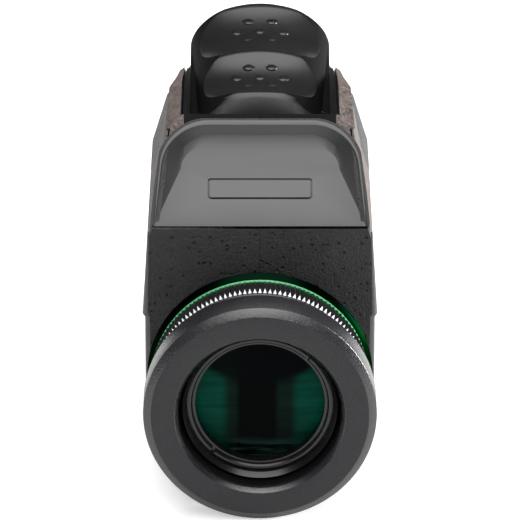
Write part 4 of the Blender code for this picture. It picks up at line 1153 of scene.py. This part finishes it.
def ridge(station):
    """Height of the lever's ridge: two round grooves between three crests, rounded at both ends."""
    for (rear, rear_top), (front, front_top) in zip(CRESTS, CRESTS[1:]):
        if rear <= station <= front:
            part = (station - rear) / (front - rear)
            return rear_top + (front_top - rear_top) * part - GROOVE * 4 * part * (1 - part)
    if station < CRESTS[0][0]:
        centre, radius = REAR_TURN, END_ROUNDS[0]
        base = CRESTS[0][1] - radius * math.cos(END_TILT)
    else:
        centre, radius = CRESTS[-1][0], END_ROUNDS[1]
        base = CRESTS[-1][1] - radius
    steep = max(REAR_ARC - station, 0)
    reach = abs(max(station, REAR_ARC) - centre)
    return base + math.sqrt(max(radius ** 2 - reach ** 2, 0)) - steep * math.tan(END_STEEP)


def ridge_stations():
    """Close stations at the rounded ends and even ones along the grooves, with the sharp crests left out."""
    arc = [math.cos(turn) for turn in spread(0, math.pi / 2, FRONT_RINGS)]
    turns = spread(END_STEEP, END_TILT, REAR_RINGS)
    places = [LEVER_REAR] + [REAR_TURN - END_ROUNDS[0] * math.sin(turn) for turn in turns]
    for (rear, _), (front, _) in zip(CRESTS, CRESTS[1:]):
        places += spread(rear + CREST_GAP, front - CREST_GAP, GROOVE_RINGS)
    return places + [CRESTS[-1][0] + END_ROUNDS[1] * part for part in reversed(arc)]


stations = ridge_stations()
print("lever rings:", len(stations))

# %% Two half-round bars
ARCH_POINTS = 160
spring_height = spot(0, 0, SPRING).z


def ring_points(station, rise):
    """A test for the points of one ring that stand higher than a rise over the spring line."""
    place = spot(0, station, 0).y
    return lambda point: abs(point.co.y - place) < NEAR and point.co.z > spring_height + rise * MM


def half_round_bar(name, half_width, places):
    """Half a circle extruded along the tube, with a ring at each place."""
    choose_none()
    bpy.ops.mesh.primitive_circle_add(
        vertices=ARCH_POINTS, radius=half_width * MM, location=spot(0, places[0], SPRING),
        rotation=(math.pi / 2, 0, 0), fill_type="NGON",
    )
    bar = placed(name)
    open_mesh(bar)
    pick(bar, "VERT", lambda point: point.co.z < spring_height - NEAR)
    bpy.ops.mesh.dissolve_verts()
    pick(bar, "FACE", lambda face: True)
    for before, after in zip(places, places[1:]):
        extrude(0, after - before, 0)
    return bar


def raise_rings(bar, half_width, places, top):
    """Scales each ring of a bar so that it stands as high as the top asks for."""
    for place in places:
        pick(bar, "VERT", ring_points(place, NEAR / MM))
        height = (top(place) - SPRING) / half_width
        bpy.ops.transform.resize(value=(1, 1, height), center_override=spot(0, place, SPRING))


def lower_foot(bar, foot):
    """Draws the flat underside of a bar down to a foot and closes the mesh."""
    face_outwards()
    pick(bar, "FACE", lambda face: face.normal.z < -0.9)
    extrude(0, 0, foot - SPRING)
    seal(bar)


print("bars have", ARCH_POINTS, "points in a full circle")

# %% Draw the lever's outline
SIDE_RISE, SIDE_OUT = 3.0, 9.0


def waist(station, rear_share):
    """Share of its width that the lever keeps, from a share at the rear to all of it at the front."""
    part = (station - LEVER_REAR) / (LEVER_FRONT - LEVER_REAR)
    return rear_share + (1 - rear_share) * part


def arch_top(station):
    """Height of the lever's outline, lower where its two ends are rounded."""
    part = min((station - CRESTS[0][0]) / (ARCH_FULL - CRESTS[0][0]), 1)
    at_end = station < CRESTS[0][0] or station > CRESTS[-1][0]
    return ridge(station) if at_end else ARCH_REAR + (ARCH_FRONT - ARCH_REAR) * part


def lever_side(face):
    """True for the faces down the lever's two sides."""
    middle = face.calc_center_median()
    low = middle.z < spot(0, 0, SPRING + SIDE_RISE).z and abs(middle.x) > SIDE_OUT * MM
    return abs(face.normal.x) > 0.36 or (low and abs(face.normal.y) < 0.4)


lever = half_round_bar("saddle_lever", LEVER_WIDE, stations)
raise_rings(lever, LEVER_WIDE, stations, arch_top)
for station in stations:
    for rise, share in ((-OVERSHOOT, REAR_WIDE / LEVER_WIDE), (SHOULDER, REAR_ARCH / REAR_WIDE)):
        pick(lever, "VERT", ring_points(station, rise))
        narrow = (waist(station, share), 1, 1)
        bpy.ops.transform.resize(value=narrow, center_override=spot(0, station, SPRING))
lower_foot(lever, LEVER_FOOT)
# The lever's sides take the darker copy: painted shade.
give_looks(lever, slider, slider_side_painted_shade)
open_mesh(lever)
print("side faces:", paint(lever, 1, lever_side))
choose(lever)
print("lever outline", [round(side / MM, 1) for side in lever.dimensions])

# %% Bring the grooves in
RIDGE_WIDE = 15.6


def groove_top(station):
    """The ridge line between the first and the last crest, and level beyond them."""
    return ridge(min(max(station, CRESTS[0][0]), CRESTS[-1][0]))


between = [place for place in stations if CRESTS[0][0] < place < CRESTS[-1][0]]
ridge_places = [LEVER_REAR - OVERSHOOT] + between + [LEVER_FRONT + OVERSHOOT]
ridge_bar = half_round_bar("ridge_bar", RIDGE_WIDE, ridge_places)
raise_rings(ridge_bar, RIDGE_WIDE, ridge_places, groove_top)
lower_foot(ridge_bar, LEVER_FOOT - 2 * OVERSHOOT)
give_looks(ridge_bar, slider)
cut(lever, ridge_bar, "INTERSECT")
seal(lever)
print("lever box", [round(side / MM, 1) for side in lever.dimensions])

# %% Weld on the grip domes
DOME_ROWS = [(52.4, (-2.13, 2.13)), (55.3, (-4.27, 0.0, 4.27)), (58.3, (-2.13, 2.13))]
DOME_ROWS += [(73.9, (-2.18, 2.18)), (77.0, (-4.38, 0.0, 4.38)), (80.2, (-2.18, 2.18))]
DOME_RADIUS, DOME_RISE, DOME_SINK = 1.2, 0.42, 0.27


def lever_skin(x, station):
    """Height of the lever's surface beside the ridge."""
    return SPRING + (ridge(station) - SPRING) * math.sqrt(1 - (x / RIDGE_WIDE) ** 2)


domes = []
for station, places in DOME_ROWS:
    for x in places:
        choose_none()
        place = spot(x, station, lever_skin(x, station) - DOME_SINK)
        bpy.ops.mesh.primitive_uv_sphere_add(
            segments=28, ring_count=24, radius=1, location=place,
            scale=(DOME_RADIUS * MM, DOME_RADIUS * MM, DOME_RISE * MM),
        )
        domes.append(placed("dome"))
choose(domes[0])
for dome_piece in domes:
    dome_piece.select_set(True)
bpy.ops.object.join()
cut(lever, domes[0], "UNION")
print("domes:", len(domes))

# %% Add the neck under the lever
NECK_HALF, NECK_REAR, NECK_FRONT, NECK_FOOT = 3.0, 52.9, 72.9, 31.8
NECK_SCREWS, HOLE_RADIUS, HOLE_DEEP = (54.4, 71.4), 1.3, 9.0
neck = block(
    (2 * NECK_HALF, NECK_FRONT - NECK_REAR, SPRING - NECK_FOOT),
    spot(0, (NECK_REAR + NECK_FRONT) / 2, (NECK_FOOT + SPRING) / 2),
)
round_edges(neck, width=0.3)
cut(lever, neck, "UNION")
for station in NECK_SCREWS:
    choose_none()
    bpy.ops.mesh.primitive_cylinder_add(
        vertices=24, radius=HOLE_RADIUS * MM, depth=HOLE_DEEP * MM, location=spot(0, station, NECK_FOOT)
    )
    cut(lever, bpy.context.object)
dress(lever, "focus_lever", "focus_group", slider, angle=32)
print("neck holes:", len(NECK_SCREWS))

# %% [markdown]
# ## Objective bezel
# The far end is out of sight in the picture, so it is kept plain: a turned ring in rubber round the front
# lens, with one grip groove and softened edges.

# %% Turn the bezel
BEZEL = [
    (11.0, 99.7), (18.3, 99.7), (18.5, 99.9), (18.5, 101.6), (18.1, 101.85), (18.5, 102.1), (18.5, 104.0),
    (17.1, 105.4), (13.4, 105.4), (12.6, 103.8), (11.0, 102.0),
]
bezel = turned("objective_ring", BEZEL)
round_edges(bezel, width=0.1)
dress(bezel, "objective_bezel", "housing", rubber, angle=30)
